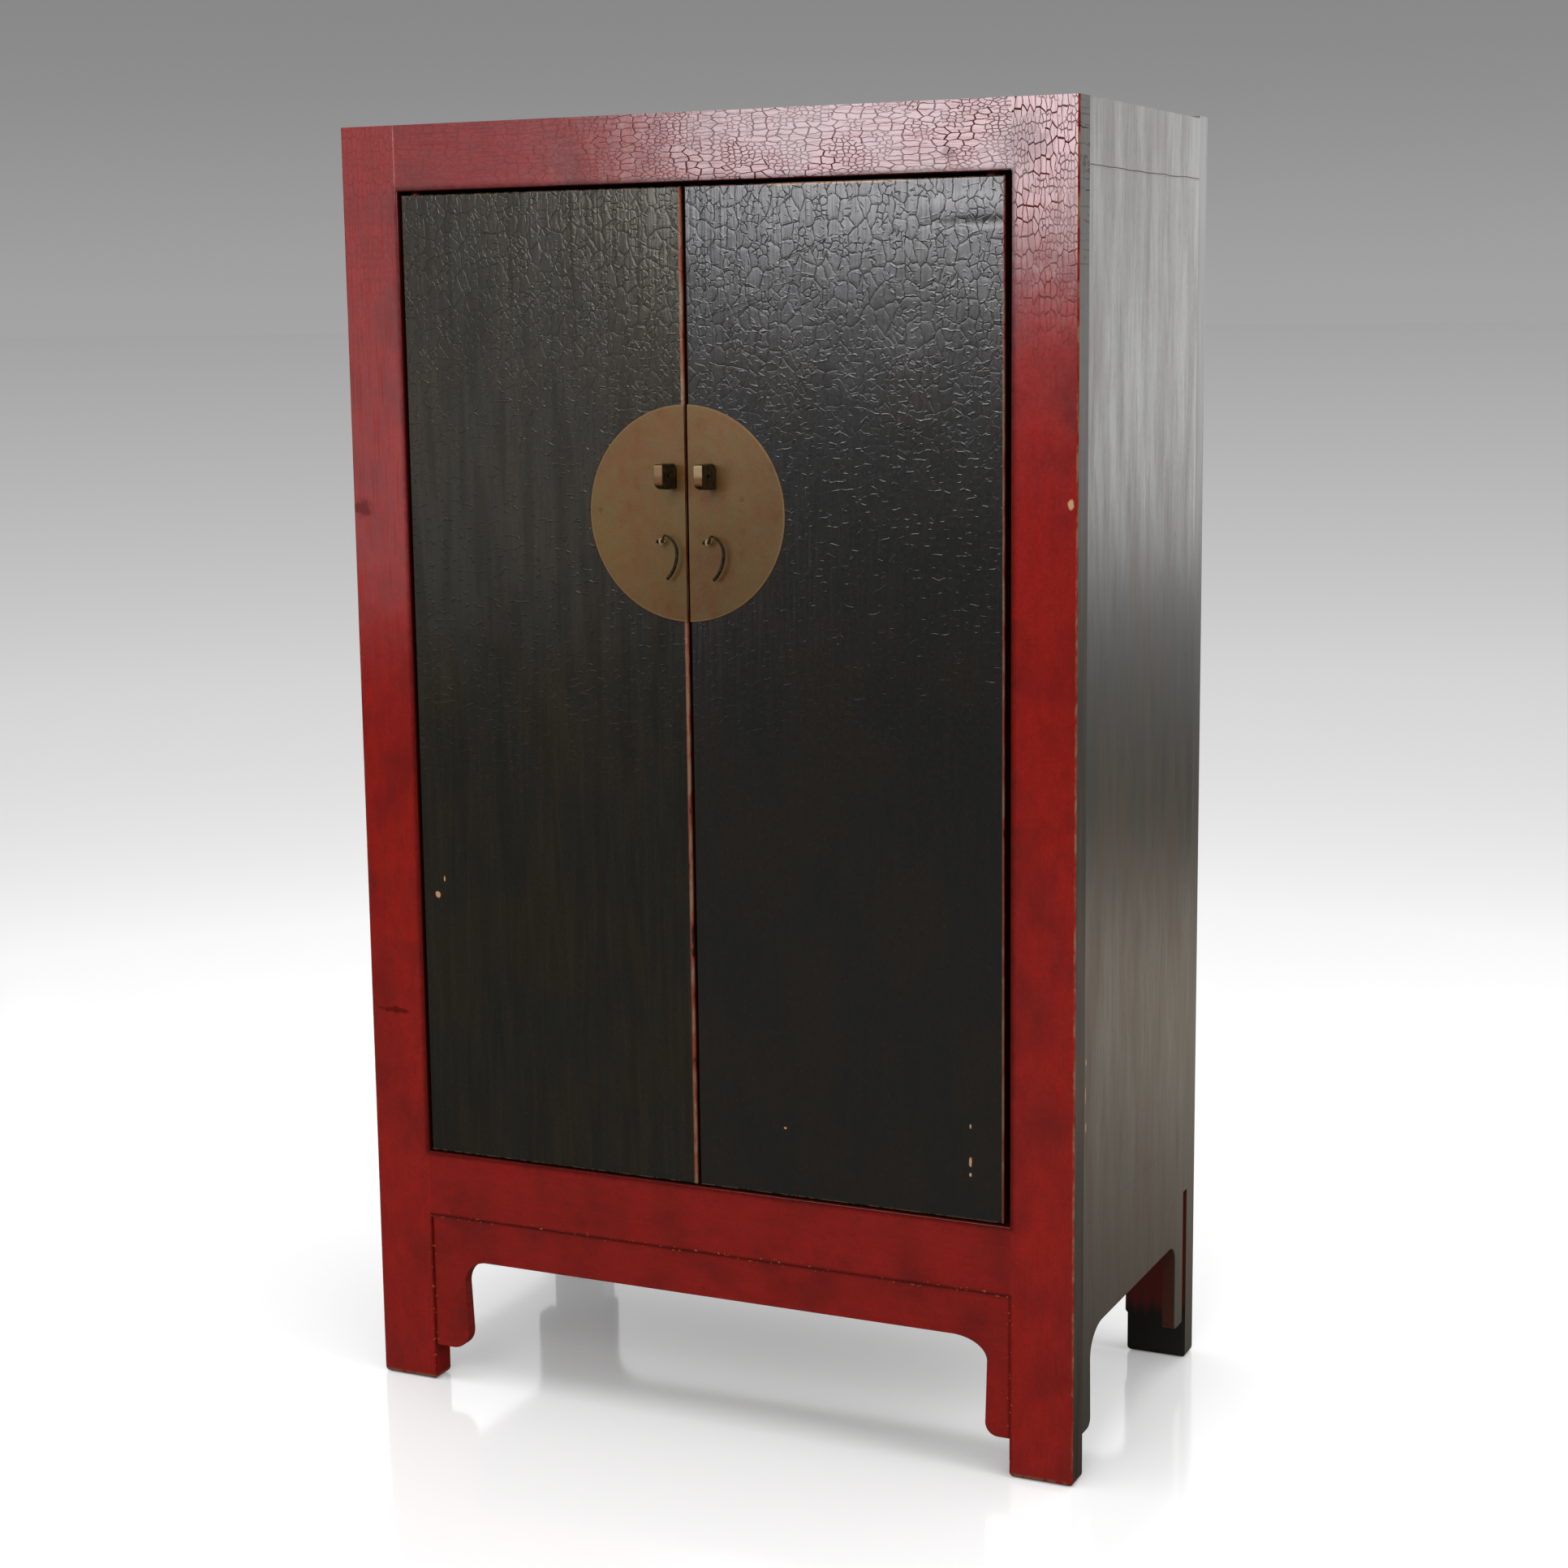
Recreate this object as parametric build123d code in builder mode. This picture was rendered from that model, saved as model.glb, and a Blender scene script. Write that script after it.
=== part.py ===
from build123d import *
import os

# Chinese wedding cabinet: a square-corner case of posts and tenoned rails, with a pair of
# flush doors that turn on wooden pivots, and a round brass plate split between them.
# Millimetres. +Z is up, the doors face -Y, +X is the right-hand side seen from the front.

os.makedirs("parts", exist_ok=True)

# ---------------------------------------------------------------- driving dimensions

# Case, outside
WIDTH = 1060.0
DEPTH = 543.0
HEIGHT = 1780.0
REAR_POST_PROUD = 3.0          # the rear posts stand a little above the shrunken rails
POST_WIDTH = 88.0              # along X
POST_DEPTH = 38.0              # along Y
FOOT_ROUND = 8.0
OUTER_ARRIS = 2.5              # worn roundings
OPENING_ARRIS = 1.5

# Front and rear rails, and the heights they stand at
ARCH_HEIGHT = 187.0            # floor to the straight edge of the front and rear aprons
APRON_HEIGHT = 64.0
BOTTOM_RAIL_HEIGHT = 94.0
TOP_RAIL_HEIGHT = 88.0

# Side rails
SIDE_RAIL_THICKNESS = 26.0
SIDE_TOP_RAIL_HEIGHT = 84.0
SIDE_BOTTOM_RAIL_HEIGHT = 85.0
SIDE_ARCH_HEIGHT = 192.0

# Joinery
TENON_LENGTH = 30.0            # front and rear rails into the posts
TENON_THICKNESS = 10.0
TENON_SHOULDER = 12.0
SIDE_TENON_LENGTH = 20.0       # side rails into the posts
SIDE_TENON_THICKNESS = 8.0
STUB_LENGTH = 8.0              # stub tenons of battens, bearers and the muntin
TONGUE_THICKNESS = 6.0
TONGUE_DEPTH = 7.0
CHEEK_GAP = 0.15               # clearance beside a tenon or a tongue
END_GAP = 0.8                  # clearance past its end
SHADOW_GAP = 0.5               # open line round the top panel and the floor
SIDE_PANEL_GAP = 0.15          # the same round a side panel, nearly filled by the lacquer

# Aprons
APRON_THICKNESS = 18.0
APRON_SETBACK = 2.5            # front and rear aprons, behind the faces of the posts
APRON_ARRIS = 1.5

# Panels, floor and shelves
SIDE_PANEL_THICKNESS = 14.0
BACK_PANEL_THICKNESS = 10.0
BACK_PANEL_RECESS = 8.0
MUNTIN_WIDTH = 60.0
MUNTIN_THICKNESS = 28.0
TOP_PANEL_THICKNESS = 14.0
TOP_PANEL_DROP = 4.0
FLOOR_THICKNESS = 14.0
FLOOR_DROP = 6.0
BATTEN_WIDTH = 46.0
BATTEN_HEIGHT = 24.0
DOVETAIL_NECK = 6.0            # its neck is this much narrower than the batten, on each side
DOVETAIL_DEPTH = 4.0
DOVETAIL_SPLAY = 3.0           # the dovetail's widening on each side
FLOOR_BATTEN_SPACING = 420.0
SHELF_THICKNESS = 16.0
SHELF_SETBACK = 62.0           # behind the front of the case
SHELF_SIDE_GAP = 2.0
SHELF_BACK_GAP = 2.0
SHELF_HEIGHTS = {"lower": 790.0, "upper": 1240.0}     # top faces, above the floor
BEARER_HEIGHT = 30.0
BEARER_THICKNESS = 22.0
BEARER_SHOULDER = 4.0          # round the stub tenons of bearers, battens and the muntin

# Doors
DOOR_THICKNESS = 22.0
DOOR_RECESS = 4.5
TOP_DOOR_GAP = 5.0
BOTTOM_DOOR_GAP = 1.5
HINGE_GAPS = {"left": 2.5, "right": 10.0}
MEETING_GAP = 5.0
MEETING_X = -12.0              # the doors were made a little unequal
DOOR_ARRIS = 2.0
PIVOT_EDGE_DISTANCE = 20.0     # pivot axis to the hinge edge of the door
PIVOT_RADIUS = 8.0
PIVOT_CHAMFER = 1.0
PIVOT_GAP = 0.3
TOP_PIVOT_BITE = 16.0          # how far the pivots stand in their sockets
BOTTOM_PIVOT_BITE = 4.0        # less than the top gap, so that a door lifts out
SOCKET_END_GAP = 0.3
PIVOT_STILE_WIDTH = 62.0
DOOR_BATTEN_HEIGHT = 50.0
DOOR_BATTEN_STAND = 15.0       # how far it stands off the back of the door
DOOR_BATTEN_EDGE = 36.0        # its end to the meeting edge of the door
DOOR_BATTEN_HINGE_END = 14.0   # its other end to the hinge edge
BATTEN_CHAMFER = 2.0
UPPER_BATTEN_DROP = 207.0      # top of the door to the middle of its upper batten
LOWER_BATTEN_RISE = 213.5      # bottom of the door to the middle of its lower batten

# Brass hardware
PLATE_RADIUS = 143.0
PLATE_THICKNESS = 1.6
PLATE_RIM = 0.8                # rounding of its rim
PLATE_HEIGHT = 1264.0          # centre, above the floor
PLATE_OFFSET = -1.4            # its centre beside the line where the doors meet
LUG_OFFSETS = {"left": 19.7, "right": 38.2}           # from the same line
LUG_RISE = 50.0                # middle of the plate to the middle of the lugs
LUG_TALL = 33.5
LUG_REACH = 44.0               # how far a lug stands off the plate
LUG_THICKNESS = 12.0
LUG_NOSE_ROUND = 4.0           # upper front corner
LUG_SHOULDER = (11.0, 10.5)    # run and drop of the rounded upper corner at the plate
LUG_CHIN = (22.0, 10.0)        # run and rise of the rounded lower corner in front
LUG_ARRIS = 1.2
LOCK_BORE_RADIUS = 4.0
LOCK_BORE_REACH = 25.0         # its axis to the plate
LEG_WIDTH = 4.0                # the split legs of a lug
LEG_THICKNESS = 2.0
LEG_TAIL = 14.0
PULL_OFFSET = 34.2
PULL_DROP = 36.5               # middle of the plate to the pivot of the pulls
PULL_STANDOFF = 10.5           # pivot to the plate
EYE_WIRE = 1.5                 # radii
EYE_HOLE = 1.95
EYE_TAIL = 13.0                # each clinched leg, from the shank's middle
PULL_TOP_RADIUS = 1.4
PULL_BODY_RADIUS = 2.2
PULL_KNOB_RADIUS = 2.5
PULL_KNOB_LENGTH = 3.0
PULL_KNOB_ROUND = 1.0
PULL_TIP_ROUND = 0.8
PULL_PIN_START = 3.6           # the straight length in the eye, to its left and right
PULL_PIN_END = 1.9
PULL_HOOK_RADIUS = 1.9         # where the pin turns up
PULL_STEM = 3.5
PULL_TURN_RADIUS = 3.0         # over the top of the hook
PULL_TURN_ANGLE = 110.0
PULL_SHOULDER_RADIUS = 24.0
PULL_BOW_RADIUS = 48.0
PULL_BOW_ANGLE = 47.0
HARDWARE_GAP = 0.3
CLINCH_GAP = 0.1

# ---------------------------------------------------------------- worked-out places

HARDWARE_REACH = LUG_REACH + PLATE_THICKNESS - DOOR_RECESS
FRONT_Y = -(DEPTH - HARDWARE_REACH) / 2      # centres the whole, lugs included, on the origin
REAR_Y = FRONT_Y + DEPTH
CASE_X = WIDTH / 2                           # outer faces of the sides
OPENING_X = CASE_X - POST_WIDTH              # inner faces of the posts
POST_BACK_Y = FRONT_Y + POST_DEPTH           # rear face of the front posts and rails
REAR_POST_Y = REAR_Y - POST_DEPTH            # front face of the rear posts and rails
SIDE_RAIL_X = CASE_X - SIDE_RAIL_THICKNESS   # inner faces of the side rails
PANEL_BACK_X = CASE_X - SIDE_PANEL_THICKNESS

RAIL_BOTTOM = ARCH_HEIGHT + APRON_HEIGHT
OPENING_BOTTOM = RAIL_BOTTOM + BOTTOM_RAIL_HEIGHT
OPENING_TOP = HEIGHT - TOP_RAIL_HEIGHT
SIDE_RAIL_BOTTOM = OPENING_BOTTOM - SIDE_BOTTOM_RAIL_HEIGHT
SIDE_OPENING_TOP = HEIGHT - SIDE_TOP_RAIL_HEIGHT
TOP_PANEL_TOP = HEIGHT - TOP_PANEL_DROP
TOP_PANEL_BOTTOM = TOP_PANEL_TOP - TOP_PANEL_THICKNESS
FLOOR_TOP = OPENING_BOTTOM - FLOOR_DROP
FLOOR_BOTTOM = FLOOR_TOP - FLOOR_THICKNESS

BACK_PANEL_Y = REAR_Y - BACK_PANEL_RECESS - BACK_PANEL_THICKNESS    # its inner face
DOOR_FRONT_Y = FRONT_Y + DOOR_RECESS
DOOR_BACK_Y = DOOR_FRONT_Y + DOOR_THICKNESS
PLATE_FRONT_Y = DOOR_FRONT_Y - PLATE_THICKNESS
PIVOT_Y = DOOR_FRONT_Y + DOOR_THICKNESS / 2
DOOR_BOTTOM = OPENING_BOTTOM + BOTTOM_DOOR_GAP
DOOR_TOP = OPENING_TOP - TOP_DOOR_GAP

DOOR_BATTEN_LEVELS = {"upper": DOOR_TOP - UPPER_BATTEN_DROP,
                      "lower": DOOR_BOTTOM + LOWER_BATTEN_RISE}

SIDES = {"left": -1, "right": 1}
ENDS = {"front": -1, "rear": 1}
HINGE_EDGE_X = {side: sign * (OPENING_X - HINGE_GAPS[side]) for side, sign in SIDES.items()}
MEETING_EDGE_X = {side: MEETING_X + sign * MEETING_GAP / 2 for side, sign in SIDES.items()}
PIVOT_X = {side: HINGE_EDGE_X[side] - sign * PIVOT_EDGE_DISTANCE for side, sign in SIDES.items()}
STILE_EDGE_X = {side: HINGE_EDGE_X[side] - sign * PIVOT_STILE_WIDTH for side, sign in SIDES.items()}

# Tenons: the part of a rail's section that enters a post, as spans of Y or X, and of Z
FRONT_RAIL_YS = (FRONT_Y, POST_BACK_Y)
REAR_RAIL_YS = (REAR_POST_Y, REAR_Y)
TOP_RAIL_ZS = (OPENING_TOP, HEIGHT)
BOTTOM_RAIL_ZS = (RAIL_BOTTOM, OPENING_BOTTOM)
SIDE_TOP_RAIL_ZS = (SIDE_OPENING_TOP, HEIGHT)
SIDE_BOTTOM_RAIL_ZS = (SIDE_RAIL_BOTTOM, OPENING_BOTTOM)


def about(centre, size):
    """The span of a size about its centre."""
    return (centre - size / 2, centre + size / 2)


def grown(span, by):
    """A span made longer at both ends, or shorter where by is negative."""
    return (min(span) - by, max(span) + by)


def middle(span):
    return (span[0] + span[1]) / 2


# Tongues of the side panels and aprons, the top panel and the floor, and the plain back panels
SIDE_TONGUE_XS = (PANEL_BACK_X, PANEL_BACK_X + TONGUE_THICKNESS)
SIDE_APRON_TONGUE_XS = about(CASE_X - APRON_THICKNESS / 2, TONGUE_THICKNESS)
TOP_TONGUE_ZS = about(middle((TOP_PANEL_BOTTOM, TOP_PANEL_TOP)), TONGUE_THICKNESS)
FLOOR_TONGUE_ZS = about(middle((FLOOR_BOTTOM, FLOOR_TOP)), TONGUE_THICKNESS)
BACK_PANEL_YS = (BACK_PANEL_Y, BACK_PANEL_Y + BACK_PANEL_THICKNESS)
SIDE_PANEL_ZS = (OPENING_BOTTOM, SIDE_OPENING_TOP)
BACK_OPENING_ZS = (OPENING_BOTTOM, OPENING_TOP)
FRONT_APRON_YS = (FRONT_Y + APRON_SETBACK, FRONT_Y + APRON_SETBACK + APRON_THICKNESS)
REAR_APRON_YS = (REAR_Y - APRON_SETBACK - APRON_THICKNESS, REAR_Y - APRON_SETBACK)
SIDE_TENON_XS = about((SIDE_RAIL_X + CASE_X) / 2, SIDE_TENON_THICKNESS)
MUNTIN_YS = (REAR_Y - MUNTIN_THICKNESS, REAR_Y)
MUNTIN_TENON_YS = about(middle(MUNTIN_YS), TENON_THICKNESS)
TOP_BATTEN_XS = (0.0,)
FLOOR_BATTEN_XS = about(0.0, FLOOR_BATTEN_SPACING)
BEARER_XS = (PANEL_BACK_X - BEARER_THICKNESS, PANEL_BACK_X)
BEARER_ZS = {
    level: (top - SHELF_THICKNESS - BEARER_HEIGHT, top - SHELF_THICKNESS)
    for level, top in SHELF_HEIGHTS.items()
}

DOOR_BATTEN_XS = {
    side: (HINGE_EDGE_X[side] - sign * DOOR_BATTEN_HINGE_END,
           MEETING_EDGE_X[side] + sign * DOOR_BATTEN_EDGE)
    for side, sign in SIDES.items()
}
LUG_Z = PLATE_HEIGHT + LUG_RISE
PULL_Z = PLATE_HEIGHT - PULL_DROP
LUG_X = {side: MEETING_X + sign * LUG_OFFSETS[side] for side, sign in SIDES.items()}
PULL_X = {side: MEETING_X + sign * PULL_OFFSET for side, sign in SIDES.items()}
PULL_Y = PLATE_FRONT_Y - PULL_STANDOFF

# Outlines of the aprons: the spandrels at the two ends, along the apron from its low end.
# width is the spandrel's, waist how much narrower it is above its toe, rx and rz the radii of
# the corner under the rail, toe the rounding of its foot, foot the height of its lower edge.
FRONT_SPANDRELS = {
    "left": dict(width=55.0, waist=3.5, rx=36.0, rz=34.0, toe=27.0, foot=53.0),
    "right": dict(width=35.5, waist=2.5, rx=50.0, rz=31.0, toe=18.0, foot=53.0),
}
REAR_SPANDREL = dict(width=9.0, waist=1.0, rx=44.0, rz=40.0, toe=6.0, foot=52.0)
SIDE_SPANDRELS = {
    "front": dict(width=34.0, waist=2.0, rx=50.0, rz=38.0, toe=13.0, foot=60.0),
    "rear": dict(width=38.0, waist=1.5, rx=26.0, rz=26.0, toe=10.0, foot=62.0),
}
SIDE_APRON_SHORT = 18.0        # the side aprons stop short of the rear posts


# ---------------------------------------------------------------- shared shapes

def bar_x(xs, ys, zs, mode=Mode.ADD):
    """A straight bar along X between the planes xs, its section spanning ys and zs."""
    with BuildSketch(Plane.YZ.offset(xs[0])) as section:
        with Locations((middle(ys), middle(zs))):
            Rectangle(ys[1] - ys[0], zs[1] - zs[0])
    extrude(section.sketch, amount=xs[1] - xs[0], mode=mode)


def bar_y(xs, ys, zs, mode=Mode.ADD):
    """A straight bar along Y between the planes ys, its section spanning xs and zs."""
    with BuildSketch(Plane.XZ.offset(-ys[1])) as section:
        with Locations((middle(xs), middle(zs))):
            Rectangle(xs[1] - xs[0], zs[1] - zs[0])
    extrude(section.sketch, amount=ys[1] - ys[0], mode=mode)


def bar_z(xs, ys, zs, mode=Mode.ADD):
    """A straight bar along Z between the planes zs, its section spanning xs and ys."""
    with BuildSketch(Plane.XY.offset(zs[0])) as section:
        with Locations((middle(xs), middle(ys))):
            Rectangle(xs[1] - xs[0], ys[1] - ys[0])
    extrude(section.sketch, amount=zs[1] - zs[0], mode=mode)


def mirrored(span, sign):
    """A span given for the right or rear, turned to the other side where sign is -1."""
    return tuple(sorted((sign * span[0], sign * span[1])))


def beyond(face, direction, depth):
    """The span that starts at a face and runs depth in a direction."""
    return tuple(sorted((face, face + direction * depth)))


def finish(builder, name):
    """Labels a finished piece and writes it to its own file."""
    builder.part.label = name
    export_step(builder.part, f"parts/{name}.step")


# ---------------------------------------------------------------- posts

def opening_round(sign):
    """Rounds the inner front arris of a post along the door opening, stopped at the rails."""
    with BuildSketch(Plane.XY.offset(OPENING_BOTTOM)) as waste:
        with Locations((sign * (OPENING_X + OPENING_ARRIS / 2), FRONT_Y + OPENING_ARRIS / 2)):
            Rectangle(OPENING_ARRIS, OPENING_ARRIS)
        with Locations((sign * (OPENING_X + OPENING_ARRIS), FRONT_Y + OPENING_ARRIS)):
            Circle(OPENING_ARRIS, mode=Mode.SUBTRACT)
    extrude(waste.sketch, amount=OPENING_TOP - OPENING_BOTTOM, mode=Mode.SUBTRACT)


def make_post(end, side):
    """A corner post with its rounded foot, its mortises, and the grooves of what it holds."""
    right, back = SIDES[side], ENDS[end]
    front = end == "front"
    ys = FRONT_RAIL_YS if front else REAR_RAIL_YS
    inner_y = POST_BACK_Y if front else REAR_POST_Y
    apron_ys = FRONT_APRON_YS if front else REAR_APRON_YS
    spandrel = FRONT_SPANDRELS[side] if front else REAR_SPANDREL
    top = HEIGHT if front else HEIGHT + REAR_POST_PROUD
    outer_x = right * CASE_X
    outer_y = FRONT_Y if front else REAR_Y
    mortise = beyond(right * OPENING_X, right, TENON_LENGTH + END_GAP)
    side_mortise = beyond(inner_y, back, SIDE_TENON_LENGTH + END_GAP)
    groove = beyond(right * OPENING_X, right, TONGUE_DEPTH + END_GAP)
    side_groove = beyond(inner_y, back, TONGUE_DEPTH + END_GAP)
    stub = beyond(inner_y, back, STUB_LENGTH + END_GAP)
    panel_reach = TONGUE_DEPTH + END_GAP
    with BuildPart() as post:
        bar_z(mirrored((OPENING_X, CASE_X), right), ys, (0, top))
        fillet(post.faces().sort_by(Axis.Z)[0].edges(), FOOT_ROUND)
        arris = post.edges().filter_by(Axis.Z).sort_by_distance((outer_x, outer_y, top / 2))[0]
        fillet(arris, OUTER_ARRIS)
        for zs in (TOP_RAIL_ZS, BOTTOM_RAIL_ZS):
            bar_x(mortise, grown(about(middle(ys), TENON_THICKNESS), CHEEK_GAP),
                  grown(zs, CHEEK_GAP - TENON_SHOULDER), Mode.SUBTRACT)
        for zs in (SIDE_TOP_RAIL_ZS, SIDE_BOTTOM_RAIL_ZS):
            bar_y(mirrored(grown(SIDE_TENON_XS, CHEEK_GAP), right), side_mortise,
                  grown(zs, CHEEK_GAP - TENON_SHOULDER), Mode.SUBTRACT)
        bar_y(mirrored(grown(SIDE_TONGUE_XS, CHEEK_GAP), right), side_groove,
              grown(SIDE_PANEL_ZS, panel_reach), Mode.SUBTRACT)
        bar_x(groove, grown(about(middle(apron_ys), TONGUE_THICKNESS), CHEEK_GAP),
              (spandrel["foot"], RAIL_BOTTOM), Mode.SUBTRACT)
        for zs in BEARER_ZS.values():
            bar_y(mirrored(grown(BEARER_XS, CHEEK_GAP - BEARER_SHOULDER), right), stub,
                  grown(zs, CHEEK_GAP - BEARER_SHOULDER), Mode.SUBTRACT)
        if front:
            bar_y(mirrored(grown(SIDE_APRON_TONGUE_XS, CHEEK_GAP), right), side_groove,
                  (SIDE_SPANDRELS["front"]["foot"], SIDE_RAIL_BOTTOM), Mode.SUBTRACT)
            opening_round(right)
        else:
            bar_x(groove, grown(BACK_PANEL_YS, CHEEK_GAP),
                  grown(BACK_OPENING_ZS, panel_reach), Mode.SUBTRACT)
    finish(post, f"{end}_{side}_post")


# ---------------------------------------------------------------- rails

def make_cross_rail(end, level):
    """A rail across the front or the rear, tenoned into two posts."""
    front, top = end == "front", level == "top"
    ys = FRONT_RAIL_YS if front else REAR_RAIL_YS
    zs = TOP_RAIL_ZS if top else BOTTOM_RAIL_ZS
    inner_y = POST_BACK_Y if front else REAR_POST_Y
    inward = -ENDS[end]
    whole = (-OPENING_X, OPENING_X)
    opening_z = OPENING_TOP if top else OPENING_BOTTOM
    into_opening = -1 if top else 1
    tongue_zs = TOP_TONGUE_ZS if top else FLOOR_TONGUE_ZS
    battens = TOP_BATTEN_XS if top else FLOOR_BATTEN_XS
    batten_top = TOP_PANEL_BOTTOM if top else FLOOR_BOTTOM
    with BuildPart() as rail:
        bar_x(whole, ys, zs)
        if front:
            edge = rail.edges().filter_by(Axis.X).sort_by_distance((0, FRONT_Y, opening_z))[0]
            fillet(edge, OPENING_ARRIS)
        bar_x(grown(whole, TENON_LENGTH), about(middle(ys), TENON_THICKNESS),
              grown(zs, -TENON_SHOULDER))
        bar_x(whole, beyond(inner_y, -inward, TONGUE_DEPTH + END_GAP),
              grown(tongue_zs, CHEEK_GAP), Mode.SUBTRACT)
        for x in battens:
            bar_y(grown(about(x, BATTEN_WIDTH), CHEEK_GAP - BEARER_SHOULDER),
                  beyond(inner_y, -inward, STUB_LENGTH + END_GAP),
                  grown(batten_stub_zs(batten_top), CHEEK_GAP), Mode.SUBTRACT)
        if not top:
            apron_ys = FRONT_APRON_YS if front else REAR_APRON_YS
            bar_x(whole, grown(about(middle(apron_ys), TONGUE_THICKNESS), CHEEK_GAP),
                  (RAIL_BOTTOM, RAIL_BOTTOM + TONGUE_DEPTH + END_GAP), Mode.SUBTRACT)
        if front:
            bite = TOP_PIVOT_BITE + TOP_DOOR_GAP if top else BOTTOM_PIVOT_BITE
            with BuildSketch(Plane.XY.offset(opening_z)) as sockets:
                for side in SIDES:
                    with Locations((PIVOT_X[side], PIVOT_Y)):
                        Circle(PIVOT_RADIUS + PIVOT_GAP)
            extrude(sockets.sketch, amount=-into_opening * (bite + SOCKET_END_GAP),
                    mode=Mode.SUBTRACT)
        else:
            bar_x(whole, grown(BACK_PANEL_YS, CHEEK_GAP),
                  beyond(opening_z, -into_opening, TONGUE_DEPTH + END_GAP), Mode.SUBTRACT)
            bar_z(about(0, MUNTIN_WIDTH + 2 * CHEEK_GAP - 2 * BEARER_SHOULDER),
                  grown(MUNTIN_TENON_YS, CHEEK_GAP),
                  beyond(opening_z, -into_opening, STUB_LENGTH + END_GAP), Mode.SUBTRACT)
    finish(rail, f"{end}_{level}_rail")


def make_side_rail(side, level):
    """A rail along one side, tenoned into the front and the rear post."""
    right, top = SIDES[side], level == "top"
    xs = mirrored((SIDE_RAIL_X, CASE_X), right)
    zs = SIDE_TOP_RAIL_ZS if top else SIDE_BOTTOM_RAIL_ZS
    whole = (POST_BACK_Y, REAR_POST_Y)
    panel_z = SIDE_OPENING_TOP if top else OPENING_BOTTOM
    into_rail = 1 if top else -1
    tongue_zs = TOP_TONGUE_ZS if top else FLOOR_TONGUE_ZS
    with BuildPart() as rail:
        bar_y(xs, whole, zs)
        bar_y(mirrored(SIDE_TENON_XS, right), grown(whole, SIDE_TENON_LENGTH),
              grown(zs, -TENON_SHOULDER))
        bar_y(mirrored(grown(SIDE_TONGUE_XS, CHEEK_GAP), right), whole,
              beyond(panel_z, into_rail, TONGUE_DEPTH + END_GAP), Mode.SUBTRACT)
        bar_y(beyond(right * SIDE_RAIL_X, right, TONGUE_DEPTH + END_GAP), whole,
              grown(tongue_zs, CHEEK_GAP), Mode.SUBTRACT)
        if not top:
            bar_y(mirrored(grown(SIDE_APRON_TONGUE_XS, CHEEK_GAP), right), whole,
                  (SIDE_RAIL_BOTTOM, SIDE_RAIL_BOTTOM + TONGUE_DEPTH + END_GAP), Mode.SUBTRACT)
    finish(rail, f"{side}_{level}_rail")


# ---------------------------------------------------------------- aprons

def apron_outline(plane, start, stop, arch, top, low_end, high_end):
    """The face of an apron: a straight board whose two ends drop into rounded spandrels.

    It runs from start to stop along the plane's first axis, and low_end and high_end are the
    spandrels there. Each corner is an ellipse's quarter, each toe a circle's.
    """
    with BuildSketch(plane) as outline:
        with BuildLine():
            joints = []
            for origin, inward, shape in ((start, 1, low_end), (stop, -1, high_end)):
                toe_x = origin + inward * (shape["width"] - shape["toe"])
                toe_z = shape["foot"] + shape["toe"]
                waist_x = origin + inward * (shape["width"] - shape["waist"])
                corner_x = waist_x + inward * shape["rx"]
                corner_z = arch - shape["rz"]
                Polyline((origin, top), (origin, shape["foot"]), (toe_x, shape["foot"]))
                CenterArc((toe_x, toe_z), shape["toe"], -90, inward * 90)
                Line((toe_x + inward * shape["toe"], toe_z), (waist_x, corner_z))
                EllipticalCenterArc((corner_x, corner_z), shape["rx"], shape["rz"],
                                    90, arc_size=inward * 90)
                joints.append((corner_x, arch))
            Line(*joints)
            Line((start, top), (stop, top))
        make_face()
    return outline.sketch


def arch_edges(apron, axis, show_face, across):
    """The edges of an apron's show face that aren't against a rail or a post."""
    face = apron.faces().filter_by(axis).sort_by(axis)[show_face]
    edges = face.edges().sort_by(across)[1:-1]
    return edges - edges.sort_by(Axis.Z)[-1:]


def make_cross_apron(end):
    """The front or rear apron, tongued into the rail above it and the posts beside it."""
    front = end == "front"
    ys = FRONT_APRON_YS if front else REAR_APRON_YS
    ends = [FRONT_SPANDRELS[side] if front else REAR_SPANDREL for side in SIDES]
    tongue_ys = about(middle(ys), TONGUE_THICKNESS)
    outline = apron_outline(Plane.XZ.offset(-ys[1]), -OPENING_X, OPENING_X,
                            ARCH_HEIGHT, RAIL_BOTTOM, *ends)
    with BuildPart() as apron:
        extrude(outline, amount=APRON_THICKNESS)
        fillet(arch_edges(apron, Axis.Y, 0 if front else -1, Axis.X), APRON_ARRIS)
        bar_x((-OPENING_X, OPENING_X), tongue_ys, (RAIL_BOTTOM, RAIL_BOTTOM + TONGUE_DEPTH))
        for sign, shape in zip(SIDES.values(), ends):
            bar_x(beyond(sign * OPENING_X, sign, TONGUE_DEPTH), tongue_ys,
                  (shape["foot"] + APRON_ARRIS, RAIL_BOTTOM))
    finish(apron, f"{end}_apron")


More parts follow.
